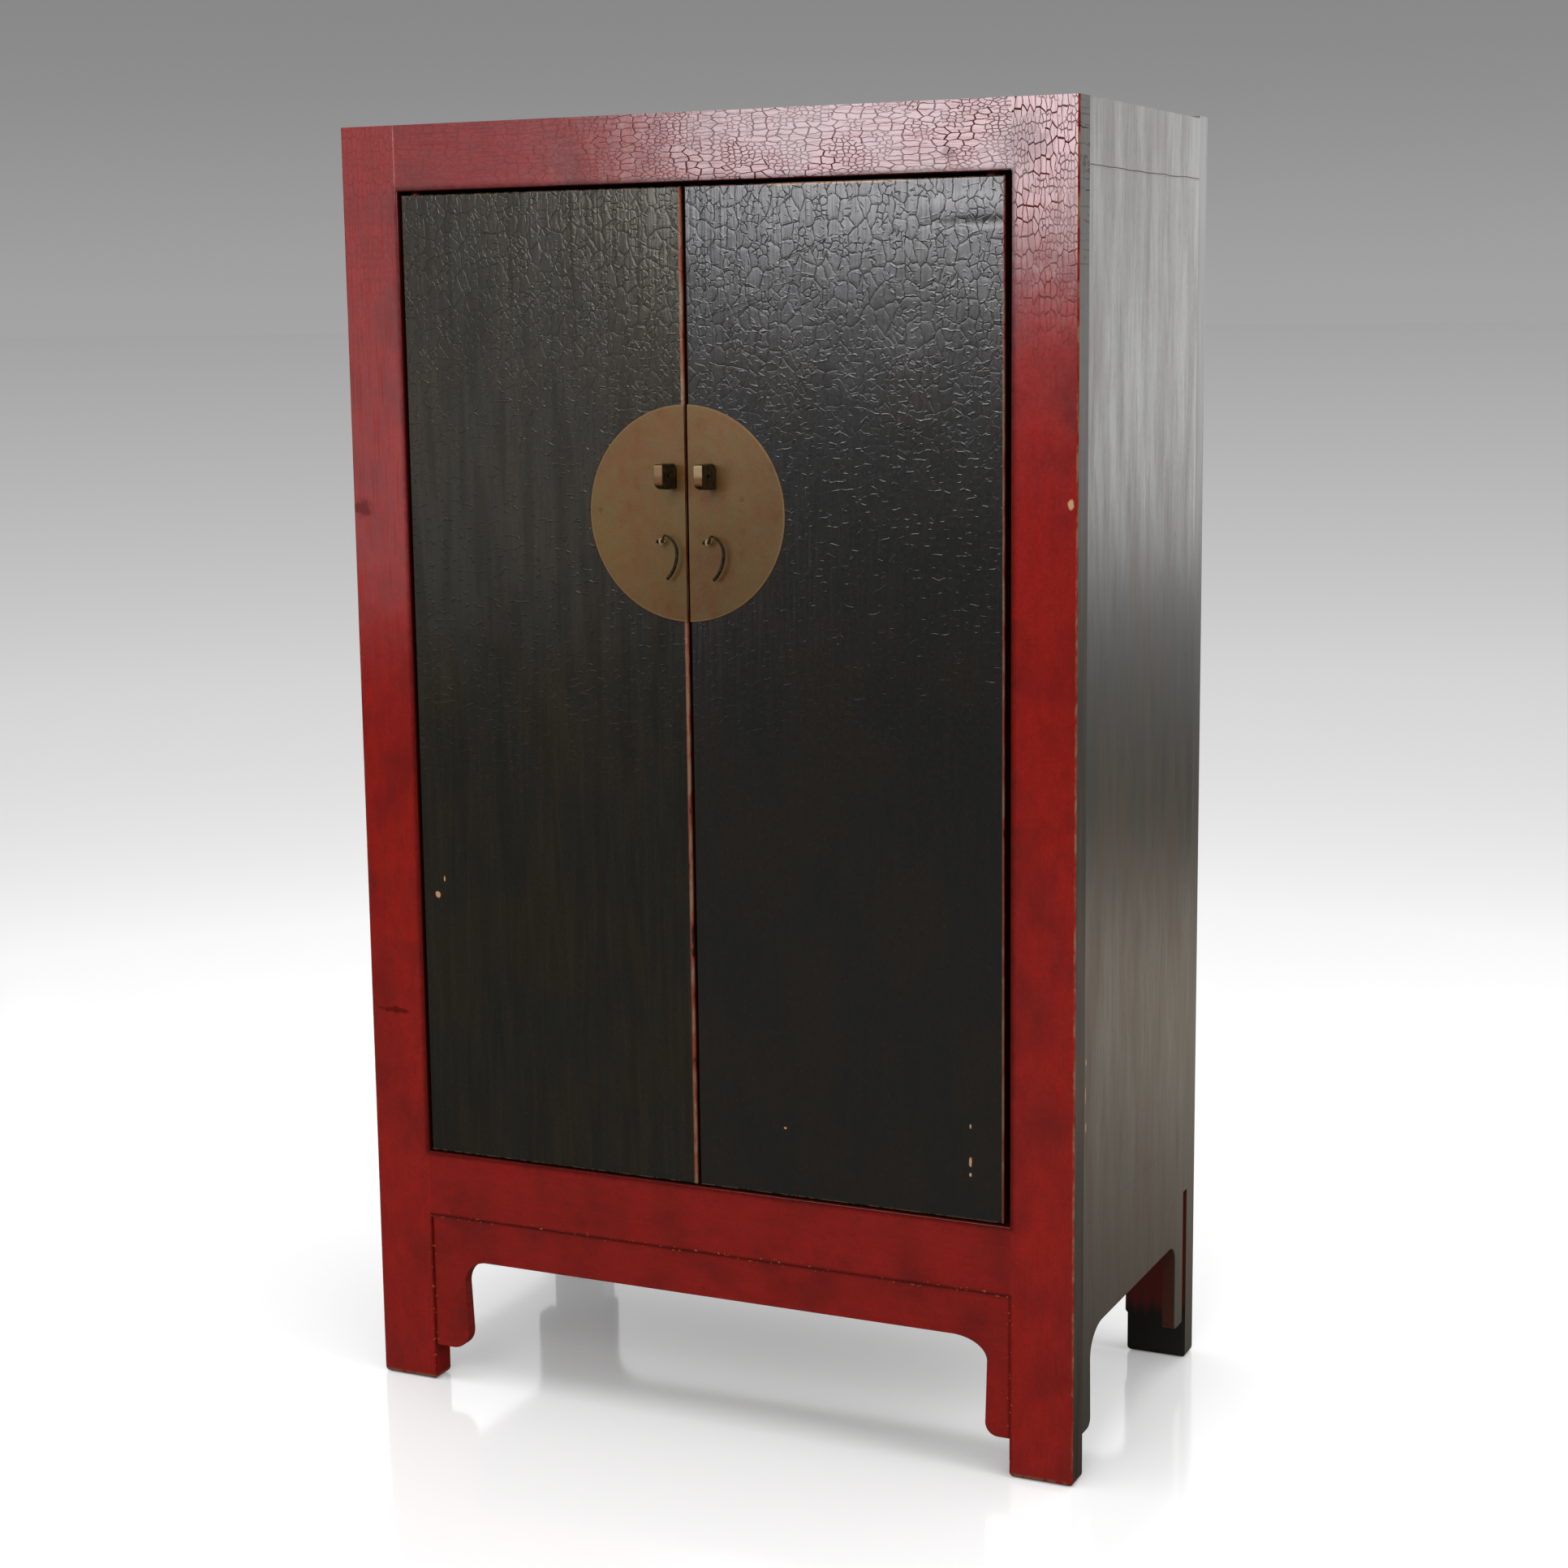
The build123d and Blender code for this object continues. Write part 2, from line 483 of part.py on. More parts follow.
def make_side_apron(side):
    """A side apron. It stops short of the rear post and hangs from the rail and front post."""
    right = SIDES[side]
    xs = mirrored((CASE_X - APRON_THICKNESS, CASE_X), right)
    ys = (POST_BACK_Y, REAR_POST_Y - SIDE_APRON_SHORT)
    outline = apron_outline(Plane.YZ.offset(xs[0]), *ys, SIDE_ARCH_HEIGHT, SIDE_RAIL_BOTTOM,
                            SIDE_SPANDRELS["front"], SIDE_SPANDRELS["rear"])
    tongue_xs = mirrored(SIDE_APRON_TONGUE_XS, right)
    with BuildPart() as apron:
        extrude(outline, amount=APRON_THICKNESS)
        fillet(arch_edges(apron, Axis.X, -1 if right > 0 else 0, Axis.Y), APRON_ARRIS)
        bar_y(tongue_xs, ys, (SIDE_RAIL_BOTTOM, SIDE_RAIL_BOTTOM + TONGUE_DEPTH))
        bar_y(tongue_xs, beyond(POST_BACK_Y, -1, TONGUE_DEPTH),
              (SIDE_SPANDRELS["front"]["foot"] + APRON_ARRIS, SIDE_RAIL_BOTTOM))
    finish(apron, f"{side}_apron")


# ---------------------------------------------------------------- battens

def batten_stub_zs(panel_underside):
    """Height span of the stub tenons of a batten under a panel."""
    return grown((panel_underside - BATTEN_HEIGHT, panel_underside), -BEARER_SHOULDER)


def dovetail(plane, width, gap=0.0):
    """The dovetail of a batten this wide. The plane's Y axis points into the board it grips."""
    neck = width / 2 - DOVETAIL_NECK + gap
    with BuildSketch(plane) as tail:
        Polygon((-neck, 0), (neck, 0), (neck + DOVETAIL_SPLAY, DOVETAIL_DEPTH + gap),
                (-neck - DOVETAIL_SPLAY, DOVETAIL_DEPTH + gap), align=None)
    return tail.sketch


def batten_bar(plane, width, stand, length):
    """A dovetailed batten along the plane's normal, standing off the board by stand."""
    with BuildSketch(plane) as section:
        with Locations((0, -stand / 2)):
            Rectangle(width, stand)
    extrude(section.sketch, amount=length)
    extrude(dovetail(plane, width), amount=length)


def panel_batten_plane(x, panel_underside):
    """Plane at the front end of a batten under a panel, looking to the rear."""
    return Plane(origin=(x, POST_BACK_Y, panel_underside), x_dir=(-1, 0, 0), z_dir=(0, 1, 0))


def make_panel_batten(name, x, panel_underside):
    """A batten under the top panel or the floor, stub-tenoned into the front and rear rails."""
    run = REAR_POST_Y - POST_BACK_Y
    with BuildPart() as batten:
        batten_bar(panel_batten_plane(x, panel_underside), BATTEN_WIDTH, BATTEN_HEIGHT, run)
        bar_y(grown(about(x, BATTEN_WIDTH), -BEARER_SHOULDER),
              (POST_BACK_Y - STUB_LENGTH, REAR_POST_Y + STUB_LENGTH),
              batten_stub_zs(panel_underside))
    finish(batten, name)


# ---------------------------------------------------------------- panels, floor and shelves

def make_field_panel(name, top, thickness, tongue_zs, batten_xs):
    """A board between the four rails at one level, tongued into them, gripped by battens."""
    bottom = top - thickness
    field_x = SIDE_RAIL_X - SHADOW_GAP
    field_ys = (POST_BACK_Y + SHADOW_GAP, REAR_POST_Y - SHADOW_GAP)
    with BuildPart() as panel:
        bar_z((-field_x, field_x), field_ys, (bottom, top))
        bar_z(about(0, 2 * (SIDE_RAIL_X + TONGUE_DEPTH)), field_ys, tongue_zs)
        bar_z(about(0, 2 * (OPENING_X - SHADOW_GAP)),
              (POST_BACK_Y - TONGUE_DEPTH, REAR_POST_Y + TONGUE_DEPTH), tongue_zs)
        for x in batten_xs:
            slot = dovetail(panel_batten_plane(x, bottom), BATTEN_WIDTH, CHEEK_GAP)
            extrude(slot, amount=REAR_POST_Y - POST_BACK_Y, mode=Mode.SUBTRACT)
    finish(panel, name)


def make_side_panel(side):
    """A side board, flush with the frame outside, its tongue let into the frame all round."""
    right = SIDES[side]
    ys = (POST_BACK_Y, REAR_POST_Y)
    with BuildPart() as panel:
        bar_y(mirrored((PANEL_BACK_X, CASE_X), right), grown(ys, -SIDE_PANEL_GAP),
              grown(SIDE_PANEL_ZS, -SIDE_PANEL_GAP))
        bar_y(mirrored(SIDE_TONGUE_XS, right), grown(ys, TONGUE_DEPTH),
              grown(SIDE_PANEL_ZS, TONGUE_DEPTH))
    finish(panel, f"{side}_side_panel")


def make_back_panel(side):
    """A plain back board, held in grooves by a rear post, the rear rails and the muntin."""
    xs = (MUNTIN_WIDTH / 2 - TONGUE_DEPTH, OPENING_X + TONGUE_DEPTH)
    with BuildPart() as panel:
        bar_z(mirrored(xs, SIDES[side]), BACK_PANEL_YS, grown(BACK_OPENING_ZS, TONGUE_DEPTH))
    finish(panel, f"{side}_back_panel")


def make_back_muntin():
    """The upright in the middle of the back, with a groove at each edge for the back boards."""
    with BuildPart() as muntin:
        bar_z(about(0, MUNTIN_WIDTH), MUNTIN_YS, BACK_OPENING_ZS)
        bar_z(about(0, MUNTIN_WIDTH - 2 * BEARER_SHOULDER), MUNTIN_TENON_YS,
              grown(BACK_OPENING_ZS, STUB_LENGTH))
        for sign in SIDES.values():
            bar_z(beyond(sign * MUNTIN_WIDTH / 2, -sign, TONGUE_DEPTH + END_GAP),
                  grown(BACK_PANEL_YS, CHEEK_GAP), grown(BACK_OPENING_ZS, STUB_LENGTH),
                  Mode.SUBTRACT)
    finish(muntin, "back_muntin")


def make_bearer(level, side):
    """A bearer along a side panel, stub-tenoned into the posts. A shelf lies on the pair."""
    right = SIDES[side]
    xs, zs = mirrored(BEARER_XS, right), BEARER_ZS[level]
    with BuildPart() as bearer:
        bar_y(xs, (POST_BACK_Y, REAR_POST_Y), zs)
        bar_y(grown(xs, -BEARER_SHOULDER), (POST_BACK_Y - STUB_LENGTH, REAR_POST_Y + STUB_LENGTH),
              grown(zs, -BEARER_SHOULDER))
    finish(bearer, f"{level}_{side}_bearer")


def make_shelf(level):
    """A loose shelf, notched round the rear posts, its front arrises eased."""
    zs = (SHELF_HEIGHTS[level] - SHELF_THICKNESS, SHELF_HEIGHTS[level])
    front = FRONT_Y + SHELF_SETBACK
    with BuildPart() as shelf:
        bar_z(about(0, 2 * (PANEL_BACK_X - SHELF_SIDE_GAP)),
              (front, REAR_POST_Y - SHELF_SIDE_GAP), zs)
        bar_z(about(0, 2 * (OPENING_X - SHELF_SIDE_GAP)),
              (front, MUNTIN_YS[0] - SHELF_BACK_GAP), zs)
        fillet(shelf.edges().filter_by(Axis.X).group_by(Axis.Y)[0], OPENING_ARRIS)
    finish(shelf, f"{level}_shelf")


# ---------------------------------------------------------------- doors

def door_batten_plane(side, level):
    """Plane at the left end of a door batten, its Y axis pointing into the door."""
    left_x = min(DOOR_BATTEN_XS[side])
    return Plane(origin=(left_x, DOOR_BACK_Y, DOOR_BATTEN_LEVELS[level]),
                 x_dir=(0, 0, 1), z_dir=(1, 0, 0))


def cut_door_dovetails(side):
    """Cuts the two dovetailed housings across the back of a door's stile or board."""
    xs = DOOR_BATTEN_XS[side]
    for level in DOOR_BATTEN_LEVELS:
        slot = dovetail(door_batten_plane(side, level), DOOR_BATTEN_HEIGHT, CHEEK_GAP)
        extrude(slot, amount=max(xs) - min(xs), mode=Mode.SUBTRACT)


def make_pivot_stile(side):
    """The stile at a door's hinge edge, with the round wooden pivots it turns on."""
    xs = tuple(sorted((HINGE_EDGE_X[side], STILE_EDGE_X[side])))
    top_pivot = DOOR_TOP, TOP_DOOR_GAP + TOP_PIVOT_BITE
    bottom_pivot = DOOR_BOTTOM, -(BOTTOM_DOOR_GAP + BOTTOM_PIVOT_BITE)
    with BuildPart() as stile:
        bar_z(xs, (DOOR_FRONT_Y, DOOR_BACK_Y), (DOOR_BOTTOM, DOOR_TOP))
        upright = stile.edges().filter_by(Axis.Z).group_by(Axis.X)
        across = stile.faces().sort_by(Axis.Y)[0].edges().filter_by(Axis.X)
        at_hinge = upright[0 if side == "left" else -1]
        fillet(at_hinge + across, DOOR_ARRIS)
        for foot, length in (top_pivot, bottom_pivot):
            with BuildSketch(Plane.XY.offset(foot)):
                with Locations((PIVOT_X[side], PIVOT_Y)):
                    Circle(PIVOT_RADIUS)
            extrude(amount=length)
            tip = stile.edges().filter_by(GeomType.CIRCLE)
            chamfer(tip.sort_by_distance((PIVOT_X[side], PIVOT_Y, foot + length))[0], PIVOT_CHAMFER)
        cut_door_dovetails(side)
    finish(stile, f"{side}_door_pivot_stile")


def make_door_board(side):
    """The wide board of a door, pierced for the legs of its lug and of its pull's eye."""
    xs = tuple(sorted((MEETING_EDGE_X[side], STILE_EDGE_X[side])))
    with BuildPart() as board:
        bar_z(xs, (DOOR_FRONT_Y, DOOR_BACK_Y), (DOOR_BOTTOM, DOOR_TOP))
        upright = board.edges().filter_by(Axis.Z).group_by(Axis.X)
        across = board.faces().sort_by(Axis.Y)[0].edges().filter_by(Axis.X)
        at_meeting = upright[-1 if side == "left" else 0]
        fillet(at_meeting + across, DOOR_ARRIS)
        cut_door_dovetails(side)
        extrude(hardware_holes(side, DOOR_BACK_Y), amount=DOOR_THICKNESS, mode=Mode.SUBTRACT)
    finish(board, f"{side}_door_board")


def make_door_batten(side, level):
    """A batten across the back of a door, its free arrises chamfered."""
    xs = DOOR_BATTEN_XS[side]
    with BuildPart() as batten:
        batten_bar(door_batten_plane(side, level), DOOR_BATTEN_HEIGHT, DOOR_BATTEN_STAND,
                   max(xs) - min(xs))
        chamfer(batten.faces().sort_by(Axis.Y)[-1].edges(), BATTEN_CHAMFER)
    finish(batten, f"{side}_door_{level}_batten")


# ---------------------------------------------------------------- brass hardware

def hardware_holes(side, y):
    """The slot for a lug's legs and the hole for an eye's shank, on the plane at this Y."""
    with BuildSketch(Plane.XZ.offset(-y)) as holes:
        with Locations((LUG_X[side], LUG_Z)):
            Rectangle(LEG_WIDTH + 2 * HARDWARE_GAP, 2 * (LEG_THICKNESS + HARDWARE_GAP))
        with Locations((PULL_X[side], PULL_Z)):
            Circle(EYE_WIRE + HARDWARE_GAP)
    return holes.sketch


def make_plate(side):
    """One half of the round plate, cut straight along the edge where its door meets."""
    outward = SIDES[side]
    with BuildPart() as plate:
        with BuildSketch(Plane.XZ.offset(-DOOR_FRONT_Y)):
            with Locations((MEETING_X + PLATE_OFFSET, PLATE_HEIGHT)):
                Circle(PLATE_RADIUS)
            with Locations((MEETING_EDGE_X[side] + outward * PLATE_RADIUS, PLATE_HEIGHT)):
                Rectangle(2 * PLATE_RADIUS, 2 * PLATE_RADIUS, mode=Mode.INTERSECT)
        extrude(amount=PLATE_THICKNESS)
        rim = plate.faces().sort_by(Axis.Y)[0].edges().filter_by(GeomType.CIRCLE)
        fillet(rim, PLATE_RIM)
        extrude(hardware_holes(side, DOOR_FRONT_Y), amount=PLATE_THICKNESS, mode=Mode.SUBTRACT)
    finish(plate, f"{side}_plate")


def make_lug(side):
    """An upright lug with a bore for the lock bar. Its legs are split and clinched behind."""
    tail_ys = beyond(DOOR_BACK_Y + CLINCH_GAP, 1, LEG_THICKNESS)
    tip_y = PLATE_FRONT_Y - LUG_REACH
    bottom, top = about(LUG_Z, LUG_TALL)
    chin_run, chin_rise = LUG_CHIN
    shoulder_run, shoulder_drop = LUG_SHOULDER
    leg_xs = about(LUG_X[side], LEG_WIDTH)
    with BuildPart() as lug:
        with BuildSketch(Plane.YZ.offset(LUG_X[side])):
            with BuildLine():
                EllipticalCenterArc((tip_y + chin_run, bottom + chin_rise), chin_run, chin_rise,
                                    180, arc_size=90)
                Polyline((tip_y + chin_run, bottom), (PLATE_FRONT_Y, bottom),
                         (PLATE_FRONT_Y, top - shoulder_drop))
                EllipticalCenterArc((PLATE_FRONT_Y - shoulder_run, top - shoulder_drop),
                                    shoulder_run, shoulder_drop, 0, arc_size=90)
                Polyline((PLATE_FRONT_Y - shoulder_run, top), (tip_y, top),
                         (tip_y, bottom + chin_rise))
            make_face()
        extrude(amount=LUG_THICKNESS / 2, both=True)
        fillet(lug.edges().filter_by(Axis.X).sort_by_distance((LUG_X[side], tip_y, top))[0],
               LUG_NOSE_ROUND)
        cheeks = lug.faces().filter_by(Axis.X).edges()
        fillet(cheeks - cheeks.group_by(Axis.Y)[-1], LUG_ARRIS)
        with BuildSketch(Plane.YZ.offset(LUG_X[side])):
            with Locations((PLATE_FRONT_Y - LOCK_BORE_REACH, LUG_Z)):
                Circle(LOCK_BORE_RADIUS)
        extrude(amount=LUG_THICKNESS, both=True, mode=Mode.SUBTRACT)
        bar_x(leg_xs, (PLATE_FRONT_Y, tail_ys[1]), about(LUG_Z, 2 * LEG_THICKNESS))
        bar_x(leg_xs, tail_ys, about(LUG_Z, 2 * (LEG_THICKNESS + LEG_TAIL)))
    finish(lug, f"{side}_lock_lug")


def make_eye(side):
    """The cotter eye a pull hangs in. Its shank goes through the door and is clinched behind."""
    x = PULL_X[side]
    ring = EYE_HOLE + EYE_WIRE
    shank_start = PULL_Y + ring
    tail_y = DOOR_BACK_Y + CLINCH_GAP + EYE_WIRE / 2
    with BuildPart() as eye:
        with Locations(Location((x, PULL_Y, PULL_Z), (0, 90, 0))):
            Torus(ring, EYE_WIRE)
        with BuildSketch(Plane.XZ.offset(-shank_start)):
            with Locations((x, PULL_Z)):
                Circle(EYE_WIRE)
        extrude(amount=-(tail_y + EYE_WIRE / 2 - shank_start))
        bar_x(about(x, 2 * EYE_WIRE), about(tail_y, EYE_WIRE), about(PULL_Z, 2 * EYE_TAIL))
    finish(eye, f"{side}_pull_eye")


def make_pull(side):
    """A crescent pull: a straight pin in the eye, a hook over it, then a rod that bows out.

    It thickens from the hook to the bow, and a knob keeps it in the eye.
    """
    pin_start = (PULL_X[side] - PULL_PIN_START, PULL_Z)
    pin_end = (PULL_X[side] + PULL_PIN_END, PULL_Z)
    with BuildLine(Plane.XZ.offset(-PULL_Y)):
        pin = Line(pin_start, pin_end)
        rise = JernArc(pin @ 1, pin % 1, PULL_HOOK_RADIUS, 90)
        stem = Line(rise @ 1, rise @ 1 + PULL_STEM * (rise % 1))
        turn = JernArc(stem @ 1, stem % 1, PULL_TURN_RADIUS, -PULL_TURN_ANGLE)
        shoulder = JernArc(turn @ 1, turn % 1, PULL_SHOULDER_RADIUS, PULL_TURN_ANGLE - 180)
        bow = JernArc(shoulder @ 1, shoulder % 1, PULL_BOW_RADIUS, -PULL_BOW_ANGLE)
    with BuildPart() as pull:
        for run in (pin, rise, stem, turn):
            with BuildSketch(run ^ 0):
                Circle(PULL_TOP_RADIUS)
            sweep(path=run)
        with BuildSketch(shoulder ^ 0):
            Circle(PULL_TOP_RADIUS)
        with BuildSketch(shoulder ^ 1):
            Circle(PULL_BODY_RADIUS)
        sweep(path=shoulder, multisection=True)
        with BuildSketch(bow ^ 0):
            Circle(PULL_BODY_RADIUS)
        sweep(path=bow)
        tip = pull.faces().filter_by(GeomType.PLANE).sort_by_distance(bow @ 1)[0]
        fillet(tip.edges(), PULL_TIP_ROUND)
        with BuildSketch(pin ^ 0):
            Circle(PULL_KNOB_RADIUS)
        extrude(amount=-PULL_KNOB_LENGTH)
        knob_end = pull.faces().filter_by(Axis.X).sort_by(Axis.X)[0]
        fillet(knob_end.edges(), PULL_KNOB_ROUND)
    finish(pull, f"{side}_pull")


# ---------------------------------------------------------------- the whole cabinet

for end_name in ENDS:
    for side_name in SIDES:
        make_post(end_name, side_name)
    for level_name in ("top", "bottom"):
        make_cross_rail(end_name, level_name)
    make_cross_apron(end_name)

make_field_panel("top_panel", TOP_PANEL_TOP, TOP_PANEL_THICKNESS, TOP_TONGUE_ZS, TOP_BATTEN_XS)
make_field_panel("floor_board", FLOOR_TOP, FLOOR_THICKNESS, FLOOR_TONGUE_ZS, FLOOR_BATTEN_XS)
make_panel_batten("top_batten", TOP_BATTEN_XS[0], TOP_PANEL_BOTTOM)
make_back_muntin()
for shelf_name in SHELF_HEIGHTS:
    make_shelf(shelf_name)

for side_name, batten_x in zip(SIDES, FLOOR_BATTEN_XS):
    for level_name in ("top", "bottom"):
        make_side_rail(side_name, level_name)
    make_side_apron(side_name)
    make_side_panel(side_name)
    make_back_panel(side_name)
    make_panel_batten(f"{side_name}_floor_batten", batten_x, FLOOR_BOTTOM)
    for shelf_name in SHELF_HEIGHTS:
        make_bearer(shelf_name, side_name)
    make_pivot_stile(side_name)
    make_door_board(side_name)
    for level_name in DOOR_BATTEN_LEVELS:
        make_door_batten(side_name, level_name)
    make_plate(side_name)
    make_lug(side_name)
    make_eye(side_name)
    make_pull(side_name)
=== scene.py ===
import math

import bpy
from mathutils import Matrix, Vector


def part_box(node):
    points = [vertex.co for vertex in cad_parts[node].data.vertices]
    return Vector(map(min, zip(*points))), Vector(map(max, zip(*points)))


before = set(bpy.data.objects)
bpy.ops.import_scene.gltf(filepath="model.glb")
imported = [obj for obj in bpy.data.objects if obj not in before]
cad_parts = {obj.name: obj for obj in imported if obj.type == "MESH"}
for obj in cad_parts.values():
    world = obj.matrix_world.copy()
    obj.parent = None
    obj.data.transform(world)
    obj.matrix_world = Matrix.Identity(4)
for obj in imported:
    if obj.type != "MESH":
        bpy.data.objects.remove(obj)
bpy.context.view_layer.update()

# The looks of a tall lacquered wedding cabinet: red crackled lacquer on the front frame, black
# lacquer on the doors and sides, bare stained wood inside, and an old brass plate with its lugs
# and pulls. Metres, in the frame of the model: the doors face -Y and +Z is up. Finishes are
# written in millimetres, because their grain, cracks and wear are that fine.

X, Y, Z = 0, 1, 2
MM = 0.001


def reach(node, axis):
    """The lowest and highest place of a node along an axis, in millimetres."""
    low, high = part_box(node)
    return low[axis] / MM, high[axis] / MM


# ---------------------------------------------------------------- places on the cabinet, mm

OPENING_X, CASE_X = reach("front_right_post", X)
FRONT_Y = reach("front_right_post", Y)[0]
REAR_Y = reach("rear_right_post", Y)[1]
OPENING_TOP = reach("front_top_rail", Z)[0]
RAIL_BOTTOM, OPENING_BOTTOM = reach("front_bottom_rail", Z)
DOOR_FRONT_Y, DOOR_BACK_Y = reach("left_door_board", Y)
LEFT_MEETING_X = reach("left_door_board", X)[1]
RIGHT_HINGE_X = reach("right_door_pivot_stile", X)[1]
DOOR_BOTTOM, DOOR_TOP = reach("left_door_board", Z)
PLATE_LEFT_X = reach("left_plate", X)[0]
PLATE_RIGHT_X = reach("right_plate", X)[1]
PLATE_BOTTOM, PLATE_TOP = reach("left_plate", Z)
LUG_FRONT_Y = reach("left_lock_lug", Y)[0]
LUG_TOP = reach("left_lock_lug", Z)[1]
SIDE_SEAM_Z = reach("right_top_rail", Z)[0]


# ---------------------------------------------------------------- shader maths

def paint(code):
    """A colour written as #rrggbb, as a shader wants it."""
    parts = [int(code[i:i + 2], 16) / 255 for i in (1, 3, 5)]
    linear = [p / 12.92 if p <= 0.04045 else ((p + 0.055) / 1.055) ** 2.4 for p in parts]
    return (*linear, 1.0)


class Signal:
    """What flows out of a node's socket. Arithmetic on it adds Math nodes."""

    def __init__(self, finish, socket):
        self.finish = finish
        self.socket = socket

    def __add__(self, other):
        return self.finish.math("ADD", self, other)

    def __sub__(self, other):
        return self.finish.math("SUBTRACT", self, other)

    def __rsub__(self, other):
        return self.finish.math("SUBTRACT", other, self)

    def __mul__(self, other):
        return self.finish.math("MULTIPLY", self, other)

    def __truediv__(self, other):
        return self.finish.math("DIVIDE", self, other)

    def __rtruediv__(self, other):
        return self.finish.math("DIVIDE", other, self)

    def __pow__(self, other):
        return self.finish.math("POWER", self, other)

    def __abs__(self):
        return self.finish.math("ABSOLUTE", self)

    __radd__ = __add__
    __rmul__ = __mul__


class Finish:
    """A node tree being built for a material or the world."""

    def __init__(self, owner):
        owner.use_nodes = True
        self.owner = owner
        self.tree = owner.node_tree
        self.tree.nodes.clear()

    def node(self, kind, settings=None, inputs=None, output=0):
        """Adds a node: its settings first, then the values or signals of its sockets."""
        node = self.tree.nodes.new(kind)
        for name, value in (settings or {}).items():
            setattr(node, name, value)
        for name, value in (inputs or {}).items():
            if isinstance(value, Signal):
                self.tree.links.new(value.socket, node.inputs[name])
            else:
                node.inputs[name].default_value = value
        return Signal(self, node.outputs[output]) if node.outputs else None

    def math(self, operation, *values):
        return self.node("ShaderNodeMath", {"operation": operation}, dict(enumerate(values)))

    def vector(self, operation, *values):
        return self.node("ShaderNodeVectorMath", {"operation": operation}, dict(enumerate(values)))

    def lower(self, one, other):
        return self.math("MINIMUM", one, other)

    def higher(self, one, other):
        return self.math("MAXIMUM", one, other)

    def step(self, value, low, high):
        """0 below low and 1 above high, with a smooth rise between them."""
        inputs = {"Value": value, "From Min": low, "From Max": high}
        return self.node("ShaderNodeMapRange", {"interpolation_type": "SMOOTHSTEP"}, inputs)

    def fade(self, value, low, high):
        """1 below low and 0 above high, with a smooth fall between them."""
        return 1 - self.step(value, low, high)

    def split(self, vector):
        """The X, Y and Z of a vector."""
        outputs = self.node("ShaderNodeSeparateXYZ", inputs={0: vector}).socket.node.outputs
        return tuple(Signal(self, outputs[axis]) for axis in "XYZ")

    def mix(self, share, start, end):
        """A colour between start and end."""
        inputs = {"Factor": share, 6: start, 7: end}
        return self.node("ShaderNodeMix", {"data_type": "RGBA"}, inputs, output=2)

    def shade(self, colour, amount):
        """A colour or a vector, scaled by a factor."""
        return self.node("ShaderNodeVectorMath", {"operation": "SCALE"},
                         {0: colour, "Scale": amount})

    def grey(self, level):
        return self.node("ShaderNodeCombineColor",
                         inputs={"Red": level, "Green": level, "Blue": level})


THROUGH = 60.0                   # a noise's size through a board, where no change is seen


def oval(across, up, width, height):
    """How far out of an oval a place is: 0 in its middle and 1 on its outline."""
    across, up = across / (width / 2), up / (height / 2)
    return (across * across + up * up) ** 0.5


